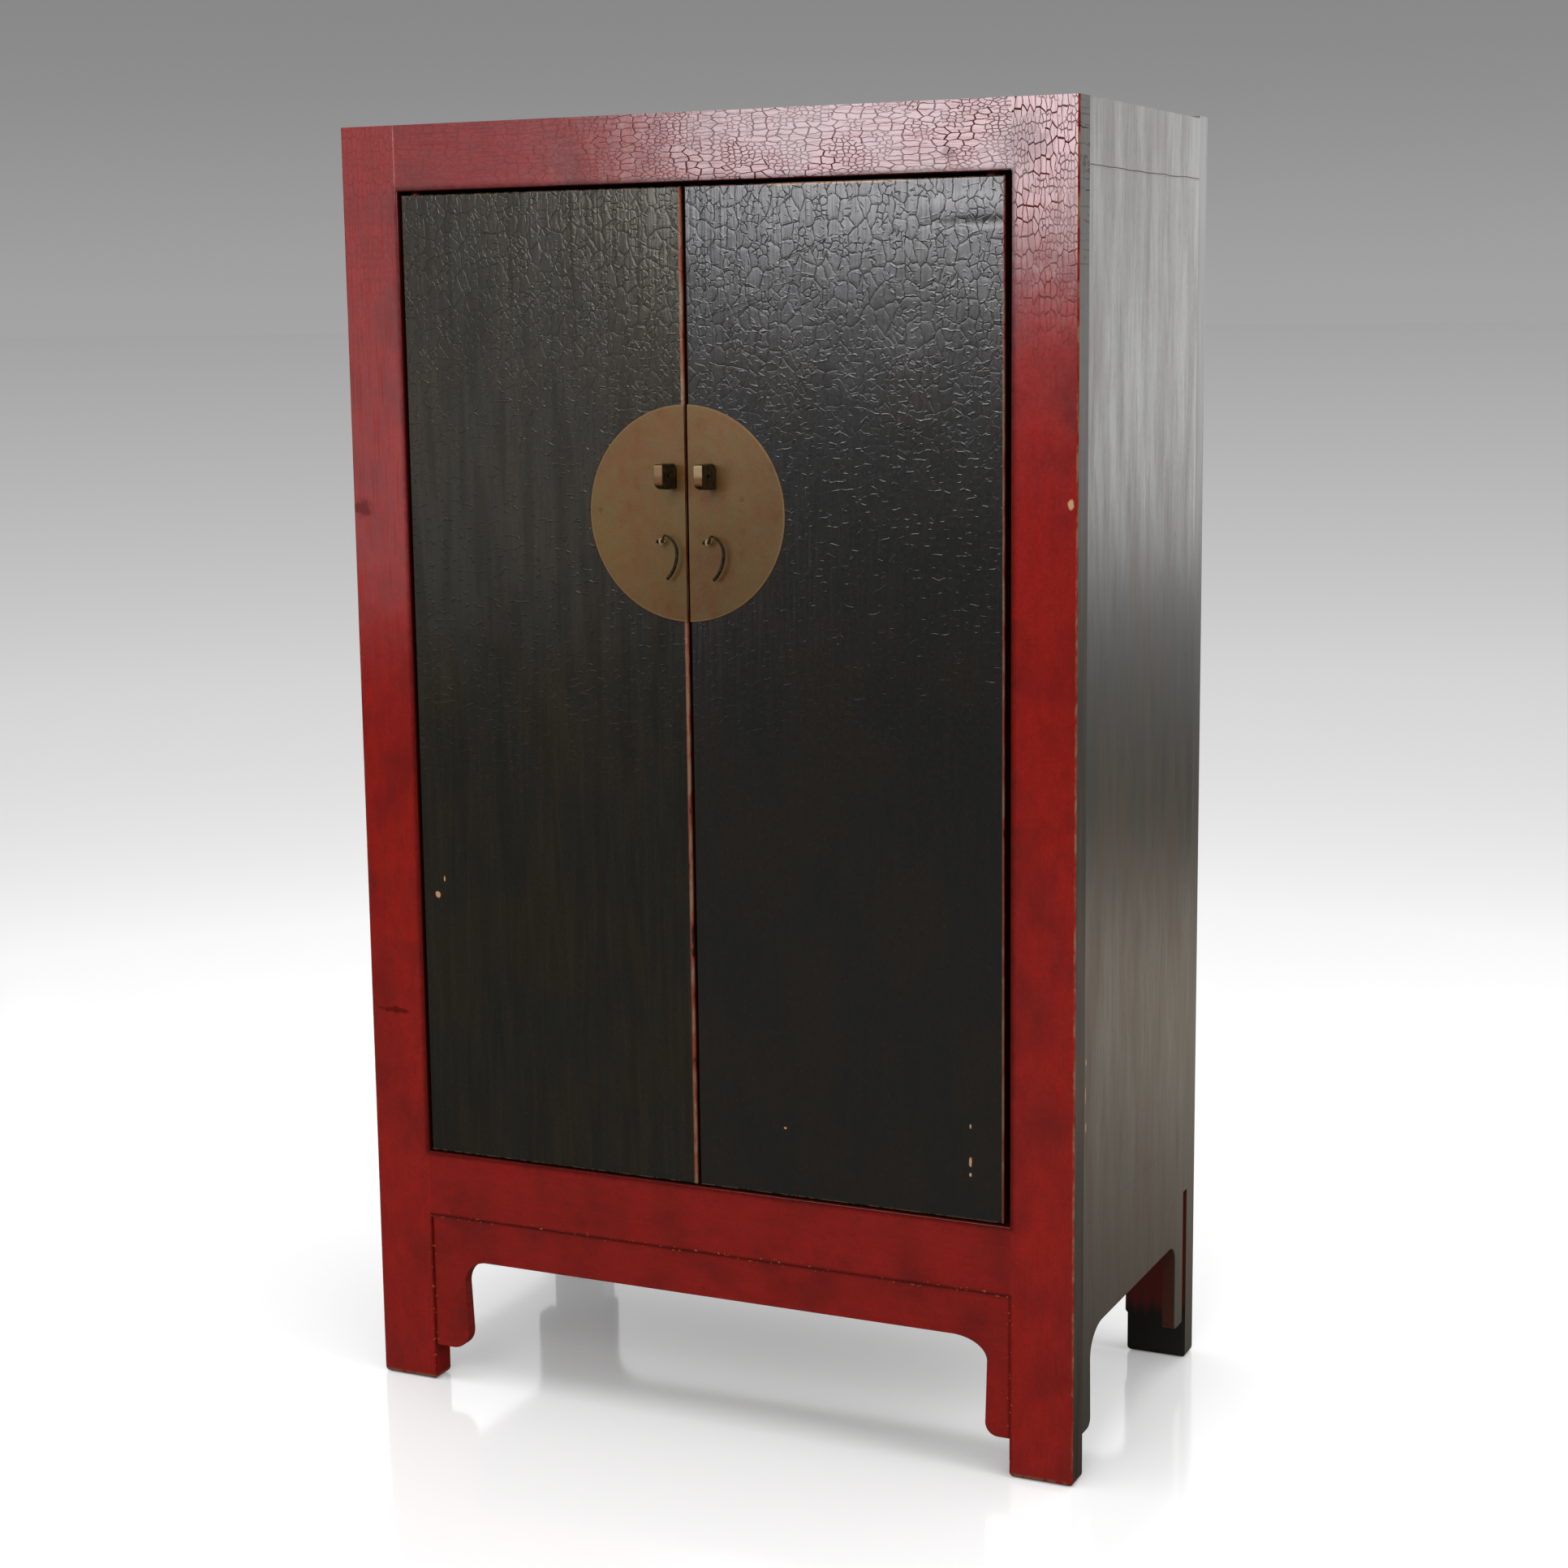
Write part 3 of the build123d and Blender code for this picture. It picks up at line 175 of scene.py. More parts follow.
class SurfaceFinish(Finish):
    """A material on the cabinet. Its places and sizes are millimetres."""

    def __init__(self, name):
        super().__init__(bpy.data.materials.new(name))
        place = self.node("ShaderNodeTexCoord", output="Object")
        self.place = self.shade(place, 1 / MM)
        self.x, self.y, self.z = self.split(self.place)

    def bent(self, amount, size):
        """The place, pushed about by up to amount in swirls of this size."""
        swirl = self.node("ShaderNodeTexNoise", inputs={
            "Vector": self.shade(self.place, 1 / size), "Scale": 1.0, "Detail": 1.0}, output=1)
        push = self.shade(self.vector("SUBTRACT", swirl, (0.5, 0.5, 0.5)), 2 * amount)
        return self.vector("ADD", self.place, push)

    def noise(self, sizes, detail=1.0, roughness=0.5, place=None):
        """Cloudy variation about 0.5, with features of these sizes along X, Y and Z."""
        return self.node("ShaderNodeTexNoise", inputs={
            "Vector": self.vector("DIVIDE", place or self.place, sizes), "Scale": 1.0,
            "Detail": detail, "Roughness": roughness})

    def cells(self, width, height, place, uneven=0.85):
        """Blocky cells of this size, on a face seen from the front: 0 at their edges."""
        across, _, up = self.split(place)
        scaled = self.node("ShaderNodeCombineXYZ", inputs={
            "X": across / width, "Y": up / height})
        return self.node("ShaderNodeTexVoronoi",
                         {"feature": "DISTANCE_TO_EDGE", "voronoi_dimensions": "2D"},
                         {"Vector": scaled, "Scale": 1.0, "Randomness": uneven})

    def cracks(self, cells, thin):
        """1 on cracks along the edges of cells, where thin is their share of a cell."""
        return self.fade(cells, thin / 4, thin)

    def spot(self, ragged, x, z, width, height, rough=0.3):
        """1 within a spot on a face seen from the front, centred at x and z.

        ragged is a noise that makes its outline uneven, and rough says how uneven and soft.
        """
        away = oval(self.x - x, self.z - z, width, height)
        return self.fade(away + (ragged - 0.5) * (4 * rough), 1 - rough, 1 + rough)

    def scratch(self, start, end, width):
        """1 along a straight scratch on the front, between two places given as (x, z)."""
        run, rise = end[0] - start[0], end[1] - start[1]
        length = math.hypot(run, rise)
        across, up = self.x - start[0], self.z - start[1]
        along = (across * run + up * rise) * (1 / length)
        aside = abs(across * rise - up * run) * (1 / length)
        beyond = self.higher(0 - along, along - length)
        return self.fade(self.higher(aside, beyond * 0.2), width / 2, width)

    def on_case_side(self):
        """1 on the outer left and right faces of the case."""
        return self.fade(CASE_X - abs(self.x), 1.0, 2.5)

    def arris(self, one, other, size):
        """1 on the corner where two faces meet, given the distances from each of them."""
        return self.fade(one + other, size / 2, size)

    def surface(self, colour, roughness, height=None, matt=None, **values):
        """The closing shader. Height is the relief in millimetres, matt the share that is dull."""
        inputs = {"Base Color": colour, "Roughness": roughness, "Specular Tint": COOL_SHEEN}
        inputs.update({name.replace("_", " "): value for name, value in values.items()})
        if height is not None:
            inputs["Normal"] = self.node("ShaderNodeBump", inputs={
                "Height": height, "Strength": 1.0, "Distance": MM})
        body = self.node("ShaderNodeBsdfPrincipled", inputs=inputs)
        if matt is not None:
            dull = self.node("ShaderNodeBsdfPrincipled", inputs={
                "Base Color": colour, "Roughness": 0.9, "Specular IOR Level": 0.0})
            body = self.node("ShaderNodeMixShader", inputs={0: matt, 1: body, 2: dull})
        self.node("ShaderNodeOutputMaterial", inputs={"Surface": body})
        return self.owner


# ---------------------------------------------------------------- palette

RED = paint("#96150d")
DEEP_RED = paint("#7a120c")
RED_CRACK = paint("#3c0d10")
# a sooty dark red, which also paints the shade round the opening and the apron
SOOT_AND_SHADE_RED = paint("#2a0906")
GREY_STAIN = paint("#4a3a3a")
PALE_PINK = paint("#c99a90")
COOL_SHEEN, WARM_SHEEN = paint("#fbfaff"), paint("#fff9ed")          # tints of the gloss
CRACK_BLACK = paint("#0c0c0a")
BLACK = paint("#191b19")
BROWN_BLACK = paint("#221e17")
STREAK_BROWN = paint("#2c241b")
GROUND = paint("#a0522d")
WORN_EDGE = paint("#84614c")
WORN_RED = paint("#7b3420")
PALE_GROUND = paint("#b98f6c")
SIDE_BLACK = paint("#22241f")
SIDE_BROWN = paint("#352d24")
BARE_WOOD = paint("#6b3f29")
BARE_WOOD_DARK = paint("#452618")
RED_BROWN = paint("#4a1a12")
BRASS = paint("#694f27")
BRASS_GREEN = paint("#55492a")
BRASS_BROWN = paint("#6a4522")
# light brass of the eyes, and the painted highlight on the lugs' noses
LIGHT_BRASS_AND_HIGHLIGHT = paint("#a08c6c")
DARK_BRASS = paint("#2f2618")
BRONZE = paint("#140e07")


# ---------------------------------------------------------------- lacquered front frame

STAINS = [                       # x, z, width, height, strength and colour of marks on the red
    (458.5, 1728.0, 56.0, 66.0, 0.35, GREY_STAIN), (361.0, 1716.0, 20.0, 16.0, 0.4, RED_CRACK),
    (-516.0, 1264.5, 30.0, 26.0, 0.5, SOOT_AND_SHADE_RED), (-491.5, 549.0, 40.0, 8.0, 0.6, SOOT_AND_SHADE_RED)]
POST_CHIP = (521.0, 1285.0, 7.0, 12.0)                                # x, z, width and height
BRICKS, CRAZE = (19.0, 7.5), (9.5, 4.6)  # cells of the cracks, along and across the grain
BRICKS_UNEVEN, CRAZE_UNEVEN = 0.65, 0.75
BRICKS_THIN, CRAZE_THIN = 0.1, 0.16      # the cracks between them, as a share of a cell
CRACKLE_X, CRACKLE_Z = (-300.0, 60.0), (1380.0, 1640.0)     # where it begins and is full
RAIL_TONE, POST_TONE = 0.82, 0.93        # how bright their red is
LEFT_JOINT_X = -OPENING_X - 4.0  # the pale line where the left post meets the top rail,
LEFT_JOINT_Z = (1660.0, 1720.0)  # and the heights over which it comes up
SHADE_WIDE, APRON_SHADE = 10.0, 5.0        # painted shade: dark borders round the opening and the apron
LACQUER_DEPTH = (30.0, 37.0)     # how deep the lacquer goes on the faces towards the inside


def frame_lacquer(name, front_y, along_x):
    """Red crackled lacquer on a front member, whose show face is at front_y.

    The crackle runs with the grain: along X on the rails and apron, and along Z on the posts.
    The outer side is black. The faces towards the inside are dark red on the feet, and above
    them sooty red in front and bare wood further back.
    """
    f = SurfaceFinish(name)
    turned = (lambda sizes: sizes) if along_x else (lambda sizes: sizes[::-1])
    bent = f.bent(2.2, 13.0)
    crazed = f.step(f.noise((40.0, THROUGH, 34.0)), 0.5, 0.53)
    bricks = f.cracks(f.cells(*turned(BRICKS), bent, BRICKS_UNEVEN), BRICKS_THIN)
    craze = f.cracks(f.cells(*turned(CRAZE), bent, CRAZE_UNEVEN), CRAZE_THIN)
    crack = f.higher(bricks * (1 - 0.85 * crazed), craze * crazed * 0.85)
    cloud = f.noise((70.0, 200.0, 90.0), detail=3.0)
    brushed = f.noise(turned((70.0, THROUGH, 2.2)))
    mottle = f.noise((4.5, THROUGH, 4.5), detail=3.0, roughness=0.7)
    ragged = f.noise((9.0, THROUGH, 9.0), detail=2.0)
    smudge = f.noise(turned((34.0, THROUGH, 18.0)), detail=4.0, roughness=0.65)

    crackled = (0.25 + 0.75 * f.step(f.x, *CRACKLE_X)) * (0.08 + 0.92 * f.step(f.z, *CRACKLE_Z))
    crack = crack * crackled * (0.7 + 0.3 * f.step(cloud, 0.4, 0.55))
    colour = f.mix(f.step(cloud, 0.2, 0.6), DEEP_RED, RED)
    tone = (RAIL_TONE if along_x else POST_TONE) - 0.03 * f.step(f.z, 150.0, 900.0)
    colour = f.shade(colour, (0.2 + 0.55 * mottle + 0.25 * brushed + 0.55 * smudge)
                     * tone * (1 - 0.22 * crackled))
    colour = f.mix(crack, colour, RED_CRACK)
    stained = 0.0
    for x, z, width, height, strength, tint in STAINS:
        stain = f.spot(ragged, x, z, width, height, 0.5) * strength
        colour = f.mix(stain, colour, tint)
        stained = f.higher(stained, stain)

    # Painted shade: a dark band round the opening, where the doors sit back, and along the edges
    # of the set-back apron.
    from_opening = f.higher(abs(f.x) - OPENING_X,
                            f.higher(f.z - OPENING_TOP, OPENING_BOTTOM - f.z))
    painted_shade = f.fade(from_opening + 5 * (ragged - 0.5), 0.0, SHADE_WIDE)
    from_apron = abs(f.lower(RAIL_BOTTOM - f.z, OPENING_X - abs(f.x)))
    painted_shade = f.higher(painted_shade * 0.7, f.fade(from_apron, 0.0, APRON_SHADE) * 0.6)
    colour = f.mix(painted_shade, colour, SOOT_AND_SHADE_RED)
    specks = f.step(f.noise((5.0, THROUGH, 5.0)), 0.66, 0.7) * f.fade(from_apron, 2.0, 7.0)
    colour = f.mix(specks * 0.8, colour, GROUND)

    wander = 9 * (f.noise((30.0, THROUGH, 14.0), detail=2.0) - 0.5)
    right_joint = f.fade(abs(abs(f.x) - OPENING_X + wander), 0.3, 1.5) * f.step(f.x, -5.0, 5.0)
    right_joint = right_joint * f.step(f.z, OPENING_TOP - 2, OPENING_TOP + 2)
    left_joint = f.fade(abs(f.x - LEFT_JOINT_X), 0.3, 1.2) * f.step(f.z, *LEFT_JOINT_Z)
    colour = f.mix(right_joint * 0.8, colour, RED_CRACK)
    colour = f.mix(left_joint * ragged * 0.6, colour, PALE_PINK)

    depth = f.y - front_y
    outside = CASE_X - abs(f.x)
    on_front = f.fade(depth, 0.8, 2.2)
    on_side = f.fade(outside, 0.6, 1.8) * (1 - on_front)
    grain = f.noise((60.0, 12.0, 150.0), detail=3.0)
    side = f.mix(f.step(grain, 0.35, 0.65), SIDE_BLACK, SIDE_BROWN)
    wear = f.noise((14.0, 14.0, 30.0), detail=3.0, roughness=0.65)
    rubbed = f.step(wear, 0.38, 0.52)
    inner = f.mix(f.step(depth, *LACQUER_DEPTH), SOOT_AND_SHADE_RED, f.mix(grain, BARE_WOOD_DARK, RED_BROWN))
    inner = f.mix(f.step(f.z, RAIL_BOTTOM - 30, RAIL_BOTTOM), DEEP_RED, inner)
    colour = f.mix(on_front, inner, colour)
    colour = f.mix(on_side, colour, side)
    worn = f.mix(f.step(wear, 0.5, 0.62), WORN_RED, WORN_EDGE)
    colour = f.mix(f.arris(depth, outside, 3.2) * rubbed * 0.65, colour, worn)
    colour = f.mix(f.fade(f.z, 3.0, 9.0) * rubbed, colour, WORN_EDGE)
    colour = f.mix(f.spot(ragged, *POST_CHIP), colour, PALE_GROUND)

    relief = 0.5 * cloud - 0.02 * crack + 0.03 * brushed
    rough = 0.12 + 0.06 * mottle + 0.25 * (1 - on_front)
    matt = f.higher(f.higher(crack, painted_shade), 0.3 * f.step(brushed, 0.5, 0.66))
    matt = f.higher(matt, f.higher(stained, on_side * 0.55))
    return f.surface(colour, rough, relief, matt, Specular_IOR_Level=0.74)


# ---------------------------------------------------------------- doors

DOOR_CHIPS = [                   # x, z, width, height of chips down to the ground coat
    (-416.0, 721.8, 8.0, 8.0), (-404.5, 744.8, 2.5, 7.0), (385.8, 473.6, 2.5, 6.0),
    (385.8, 425.3, 4.0, 12.0), (385.8, 408.0, 3.0, 5.0), (119.5, 441.3, 4.0, 3.0)]
DENT = (402.0, 1631.0, 90.0, 10.0)                                    # x, z, width and height
SWELLING = (395.0, 1650.0, 110.0, 26.0)
SCRATCHES = [                    # one end and the other, as x and z, and the width
    ((8.0, 1515.0), (85.0, 1539.0), 1.6), ((55.0, 1519.0), (100.0, 1541.0), 1.2),
    ((130.0, 1590.0), (182.0, 1611.0), 1.8)]
TOP_WORN = (90.0, 320.0)         # where the right door's top edge is rubbed, along X
BLOCKS, SMALL_BLOCKS, LIPS = (16.0, 26.0), (9.0, 10.0), (24.0, 10.0)  # cells, wide and tall
BLOCKS_THIN, SMALL_THIN, LIPS_THIN = 0.045, 0.07, 0.12      # the lines between them
CRACKED_Z = (1150.0, 1620.0)     # heights over which the cracks set in,
LIPS_Z = (700.0, 1100.0)         # their curled lips,
STREAKS_Z = (900.0, 1500.0)      # and the dull streaks along the grain


def door_lacquer(name, right):
    """Black lacquer on the face of a door, worn through along its edges, bare wood behind.

    The right door is glossier, and its cracks are deeper. The left door shows more brown grain.
    """
    f = SurfaceFinish(name)
    bent = f.bent(5.0, 17.0)
    grain = f.noise((2.6, THROUGH, 70.0), detail=2.0, place=f.bent(1.5, 30.0))
    coarse = f.noise((8.0, THROUGH, 150.0))
    cloud = f.noise((80.0, 100.0, 130.0), detail=3.0)
    mottle = f.noise((4.0, THROUGH, 6.0), detail=2.0, roughness=0.65)
    ragged = f.noise((7.0, THROUGH, 7.0), detail=2.0)
    wear = f.noise((9.0, 20.0, 45.0), detail=3.0, roughness=0.65)

    colour = f.mix(f.step(cloud, 0.4, 0.62) * 0.6, BLACK, BROWN_BLACK)
    colour = f.mix(f.step(coarse, 0.45, 0.65) * (0.1 if right else 0.3), colour, STREAK_BROWN)
    colour = f.shade(colour, (0.55 if right else 0.75) + 0.5 * mottle)
    flecks = f.step(f.noise((2.5, THROUGH, 5.0), detail=2.0, roughness=0.7), 0.62, 0.7)
    colour = f.mix(flecks * 0.45, colour, RED_BROWN)

    depth = f.y - DOOR_FRONT_Y
    from_worn_edge = RIGHT_HINGE_X - f.x if right else LEFT_MEETING_X - f.x
    ends = f.lower(f.z - DOOR_BOTTOM, DOOR_TOP - f.z)
    on_face = f.fade(depth, 1.0, 3.0)
    thickness = DOOR_BACK_Y - DOOR_FRONT_Y
    inside = f.step(depth, thickness - 2.5, thickness - 0.5)
    edge = f.mix(wear, SOOT_AND_SHADE_RED, RED_BROWN)
    wood = f.mix(f.noise((12.0, 12.0, 190.0), detail=3.0, place=bent), BARE_WOOD_DARK, BARE_WOOD)
    colour = f.mix(on_face * f.step(ends, -2.0, 0.0), edge, colour)
    colour = f.mix(inside, colour, wood)
    worn = f.arris(from_worn_edge, depth, 3.2 if right else 5.6) * f.step(wear, 0.28, 0.4)
    colour = f.mix(worn * 0.9, colour, f.mix(f.step(wear, 0.4, 0.6), WORN_RED, WORN_EDGE))
    worn_end = f.arris(abs(ends), depth, 3.0) * f.step(wear, 0.42, 0.56)
    colour = f.mix(worn_end * 0.4, colour, WORN_EDGE)
    if right:
        start, end = TOP_WORN
        rubbed = f.step(f.x, start, start + 40) * f.fade(f.x, end - 40, end)
        strip = f.fade(DOOR_TOP - f.z + 3 * (ragged - 0.5), 2.0, 4.5) * rubbed
        colour = f.mix(strip * 0.6, colour, PALE_GROUND)
    for chip in DOOR_CHIPS:
        colour = f.mix(f.spot(ragged, *chip) * on_face, colour, PALE_GROUND)

    high = f.step(f.z + 300 * (cloud - 0.5), *CRACKED_Z)
    blocks, small = f.cells(*BLOCKS, bent), f.cells(*SMALL_BLOCKS, bent)
    coarser = f.step(f.noise((24.0, THROUGH, 30.0)), 0.42, 0.48)
    groove = f.higher(f.cracks(blocks, BLOCKS_THIN) * coarser,
                      f.cracks(small, SMALL_THIN) * (1 - coarser))
    groove = groove * f.step(mottle, 0.3, 0.5) * high * (1.0 if right else 0.75)
    pillow = f.lower(blocks * 5 + (1 - coarser), small * 5 + coarser)
    pillow = f.step(pillow, 0.0, 1.0) * high
    colour = f.mix(groove * on_face * 0.7, colour, CRACK_BLACK)
    lips = f.cracks(f.cells(*LIPS, bent), LIPS_THIN)
    lips = lips * f.step(f.noise((80.0, THROUGH, 60.0)), 0.2, 0.42)
    lips = lips * f.step(f.noise((13.0, THROUGH, 8.0)), 0.53, 0.64)
    lips = lips * f.step(f.z, *LIPS_Z)

    along_grain = 0.28 * coarse + 0.12 * grain
    if right:
        relief = along_grain + 0.075 * lips + 0.045 * pillow
        cut = 0.0
        for scratch in SCRATCHES:
            cut = f.higher(cut, f.scratch(*scratch))
        relief = relief - 0.35 * cut
        relief = relief - 0.16 * f.spot(0.5, *DENT, 0.9) + 0.25 * f.spot(0.5, *SWELLING, 0.9)
    else:
        relief = 0.7 * along_grain + 0.1 * lips + 0.06 * pillow
    relief = relief + 0.8 * cloud + 0.03 * mottle - 0.08 * groove

    streaks = f.step(grain, 0.47, 0.62) * (0.3 + 0.7 * f.step(f.z, *STREAKS_Z))
    matt = f.higher(groove * 0.75, streaks * 0.2 * (0.4 + 1.2 * cloud))
    if not right:
        dull = f.step(f.noise((24.0, THROUGH, 260.0), detail=2.0), 0.45, 0.62)
        matt = f.higher(matt, 0.28 * dull)
    matt = f.higher(matt, f.fade(ends, -2.0, 0.0))
    rough = 0.15 + 0.08 * mottle + 0.2 * worn + 0.3 * (1 - on_face)
    gloss, sheen = (0.58, COOL_SHEEN) if right else (0.46, WARM_SHEEN)
    return f.surface(colour, rough, relief, matt, Specular_IOR_Level=gloss, Specular_Tint=sheen)


# ---------------------------------------------------------------- sides

SIDE_CHIPS = [                   # y, z, width and height
    (-207.0, 564.0, 4.0, 9.0), (-208.0, 521.0, 3.0, 22.0), (-206.0, 477.0, 4.0, 12.0)]


def side_lacquer(name):
    """Thin rubbed black lacquer on the outside of a side, with its grain and brush marks."""
    f = SurfaceFinish(name)
    grain = f.noise((THROUGH, 3.0, 120.0), detail=2.0)
    streak = f.noise((THROUGH, 45.0, 400.0), detail=4.0, roughness=0.65,
                     place=f.bent(12.0, 120.0))
    cloud = f.noise((THROUGH, 70.0, 150.0), detail=3.0)
    mottle = f.noise((THROUGH, 5.0, 9.0), detail=2.0, roughness=0.65)
    checks = f.step(f.noise((THROUGH, 1.6, 28.0)), 0.66, 0.74)
    colour = f.mix(f.step(streak, 0.38, 0.62), SIDE_BLACK, SIDE_BROWN)
    colour = f.shade(colour, 0.7 + 0.35 * cloud + 0.3 * mottle)
    colour = f.mix(checks * 0.4, colour, BLACK)
    bare = f.mix(f.noise((12.0, 12.0, 190.0), detail=3.0), BARE_WOOD_DARK, RED_BROWN)
    colour = f.mix(f.on_case_side(), bare, colour)
    drift = 5 * (f.noise((THROUGH, 70.0, 60.0), detail=2.0) - 0.5)
    crack = f.fade(abs(f.z - SIDE_SEAM_Z - 2.0 + drift), 0.3, 1.3) * 0.7
    colour = f.mix(crack, colour, RED_CRACK)
    for y, z, width, height in SIDE_CHIPS:
        away = oval(f.y - y, f.z - z, width, height) + 1.6 * (mottle - 0.5)
        colour = f.mix(f.fade(away, 0.7, 1.2) * 0.8, colour, PALE_GROUND)
    relief = 0.04 * grain + 0.12 * streak + 0.8 * cloud + 0.03 * mottle
    relief = relief - 0.3 * crack - 0.1 * checks
    rough = 0.19 + 0.2 * streak + 0.1 * mottle
    matt = 0.15 * f.step(streak, 0.35, 0.65) + 0.12 * f.step(grain, 0.45, 0.65)
    return f.surface(colour, rough, relief, f.higher(matt, crack))


# ---------------------------------------------------------------- bare and stained wood

def inside_wood(name, sizes, light, dark):
    """Unlacquered stained wood, its grain running along the longest of the sizes."""
    f = SurfaceFinish(name)
    bent = f.bent(4.0, 60.0)
    figure = f.noise(sizes, detail=4.0, roughness=0.6, place=bent)
    pores = f.noise(tuple(size / 6 for size in sizes))
    colour = f.mix(f.step(figure, 0.3, 0.7), dark, light)
    colour = f.shade(colour, 0.85 + 0.3 * pores)
    return f.surface(colour, 0.62 + 0.15 * (pores - 0.5), 0.2 * figure + 0.15 * pores)


def rear_post_finish(name):
    """The rear posts: black outside, and black at the foot as painted shade; bare wood within and
    behind.

    Below the rails their inner faces are dark red.
    """
    f = SurfaceFinish(name)
    streak = f.noise((14.0, 14.0, 260.0), detail=3.0, place=f.bent(3.0, 60.0))
    # Painted shade: the foot is black where it stands in the shade under the cabinet.
    painted_foot_shade = f.fade(f.z + 60 * streak, 90.0, 125.0)
    within = f.mix(f.step(streak, 0.3, 0.7), BARE_WOOD_DARK, RED_BROWN)
    colour = f.mix(f.step(f.z, RAIL_BOTTOM - 10, RAIL_BOTTOM + 10),
                   f.mix(streak, RED_BROWN, DEEP_RED), within)
    colour = f.mix(f.step(f.y, REAR_Y - 2.5, REAR_Y - 0.8), colour, BARE_WOOD_DARK)
    colour = f.mix(painted_foot_shade, colour, BLACK)
    side = f.mix(f.step(streak, 0.35, 0.65), SIDE_BLACK, SIDE_BROWN)
    colour = f.mix(f.on_case_side(), colour, side)
    return f.surface(colour, 0.3 + 0.15 * streak, 0.4 * streak)


# ---------------------------------------------------------------- brass and bronze

PLATE_SPOTS = [                  # x, z, width and height
    (68.0, 1285.0, 7.0, 7.0), (-141.0, 1267.0, 6.0, 6.0), (112.0, 1327.0, 9.0, 12.0)]
PLATE_SHADE_RUNS = (-80.0, 170.0)   # painted shade, from its upper left to its lower right: across less up
LUG_HIGHLIGHT = (19.0, 12.0)          # below a lug's top: where the painted highlight on its nose begins, and is full


def plate_brass(name):
    """Old brass sheet: dull, faintly clouded green and brown, rim rubbed lighter, shade painted
    lower right.
    """
    f = SurfaceFinish(name)
    cloud = f.noise((60.0, 40.0, 70.0), detail=3.0)
    patina = f.noise((15.0, 40.0, 19.0), detail=4.0, roughness=0.6)
    speck = f.noise((2.5, 40.0, 2.5), detail=2.0, roughness=0.7)
    colour = f.mix(f.step(cloud, 0.3, 0.7), BRASS_BROWN, BRASS)
    colour = f.mix(f.step(patina, 0.42, 0.66) * 0.55, colour, BRASS_GREEN)
    centre_x, centre_z = (PLATE_LEFT_X + PLATE_RIGHT_X) / 2, (PLATE_BOTTOM + PLATE_TOP) / 2
    radius = (PLATE_TOP - PLATE_BOTTOM) / 2
    across, up = f.x - centre_x, f.z - centre_z
    # Painted shade: the plate is darker towards its lower right.
    darker = f.step(across - up, *PLATE_SHADE_RUNS)
    colour = f.shade(colour, (0.35 + 0.5 * speck + 0.6 * patina) * (1 - 0.24 * darker))
    for spot in PLATE_SPOTS:
        colour = f.mix(f.spot(speck, *spot, 0.6) * 0.45, colour, RED_BROWN)
    rim = f.step((across * across + up * up) ** 0.5, radius - 3.0, radius - 0.5)
    colour = f.mix(rim * 0.15, colour, PALE_GROUND)
    rough = 0.36 + 0.12 * (patina - 0.5) + 0.1 * (speck - 0.5)
    return f.surface(colour, rough, 0.9 * cloud + 0.03 * speck, Metallic=0.15,
                     Specular_IOR_Level=0.35, Specular_Tint=WARM_SHEEN)


def lug_brass(name):
    """Cast lugs: brass in front, a painted highlight up the nose; cheeks near black: tarnish and
    painted shade.
    """
    f = SurfaceFinish(name)
    tarnish = f.noise((6.0, 6.0, 6.0), detail=3.0, roughness=0.6)
    front = f.fade(f.y - LUG_FRONT_Y + 1.5 * (tarnish - 0.5), 0.8, 2.2)
    begins, full = LUG_HIGHLIGHT
    # Painted highlight on the upper nose of each lug's front, stronger on the right lug.
    bright = f.step(f.z + 4 * (tarnish - 0.5), LUG_TOP - begins, LUG_TOP - full) * front
    bright = bright * (0.3 + 0.4 * f.step(f.x, -10.0, 10.0))
    # The cheeks keep these near-black tones: dark tarnish together with painted shade.
    colour = f.mix(f.step(tarnish, 0.35, 0.65), BRONZE, DARK_BRASS)
    colour = f.mix(front * 0.8, colour, BRASS_BROWN)
    colour = f.mix(bright, colour, LIGHT_BRASS_AND_HIGHLIGHT)
    return f.surface(colour, 0.5 + 0.2 * (tarnish - 0.5), 0.15 * tarnish,
                     Specular_IOR_Level=0.3, Specular_Tint=WARM_SHEEN)


def small_brass(name, light, dark):
    """Tarnished small fittings."""
    f = SurfaceFinish(name)
    tarnish = f.noise((4.0, 4.0, 5.0), detail=3.0, roughness=0.6)
    colour = f.mix(f.step(tarnish, 0.4, 0.65), light, dark)
    return f.surface(colour, 0.5 + 0.2 * (tarnish - 0.5), 0.1 * tarnish,
                     Specular_IOR_Level=0.15, Specular_Tint=WARM_SHEEN)


# ---------------------------------------------------------------- dressing the nodes

def dress(material, *names):
    """Gives CAD nodes their finish."""
    for name in names:
        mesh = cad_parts[name].data
        mesh.materials.clear()
        mesh.materials.append(material)


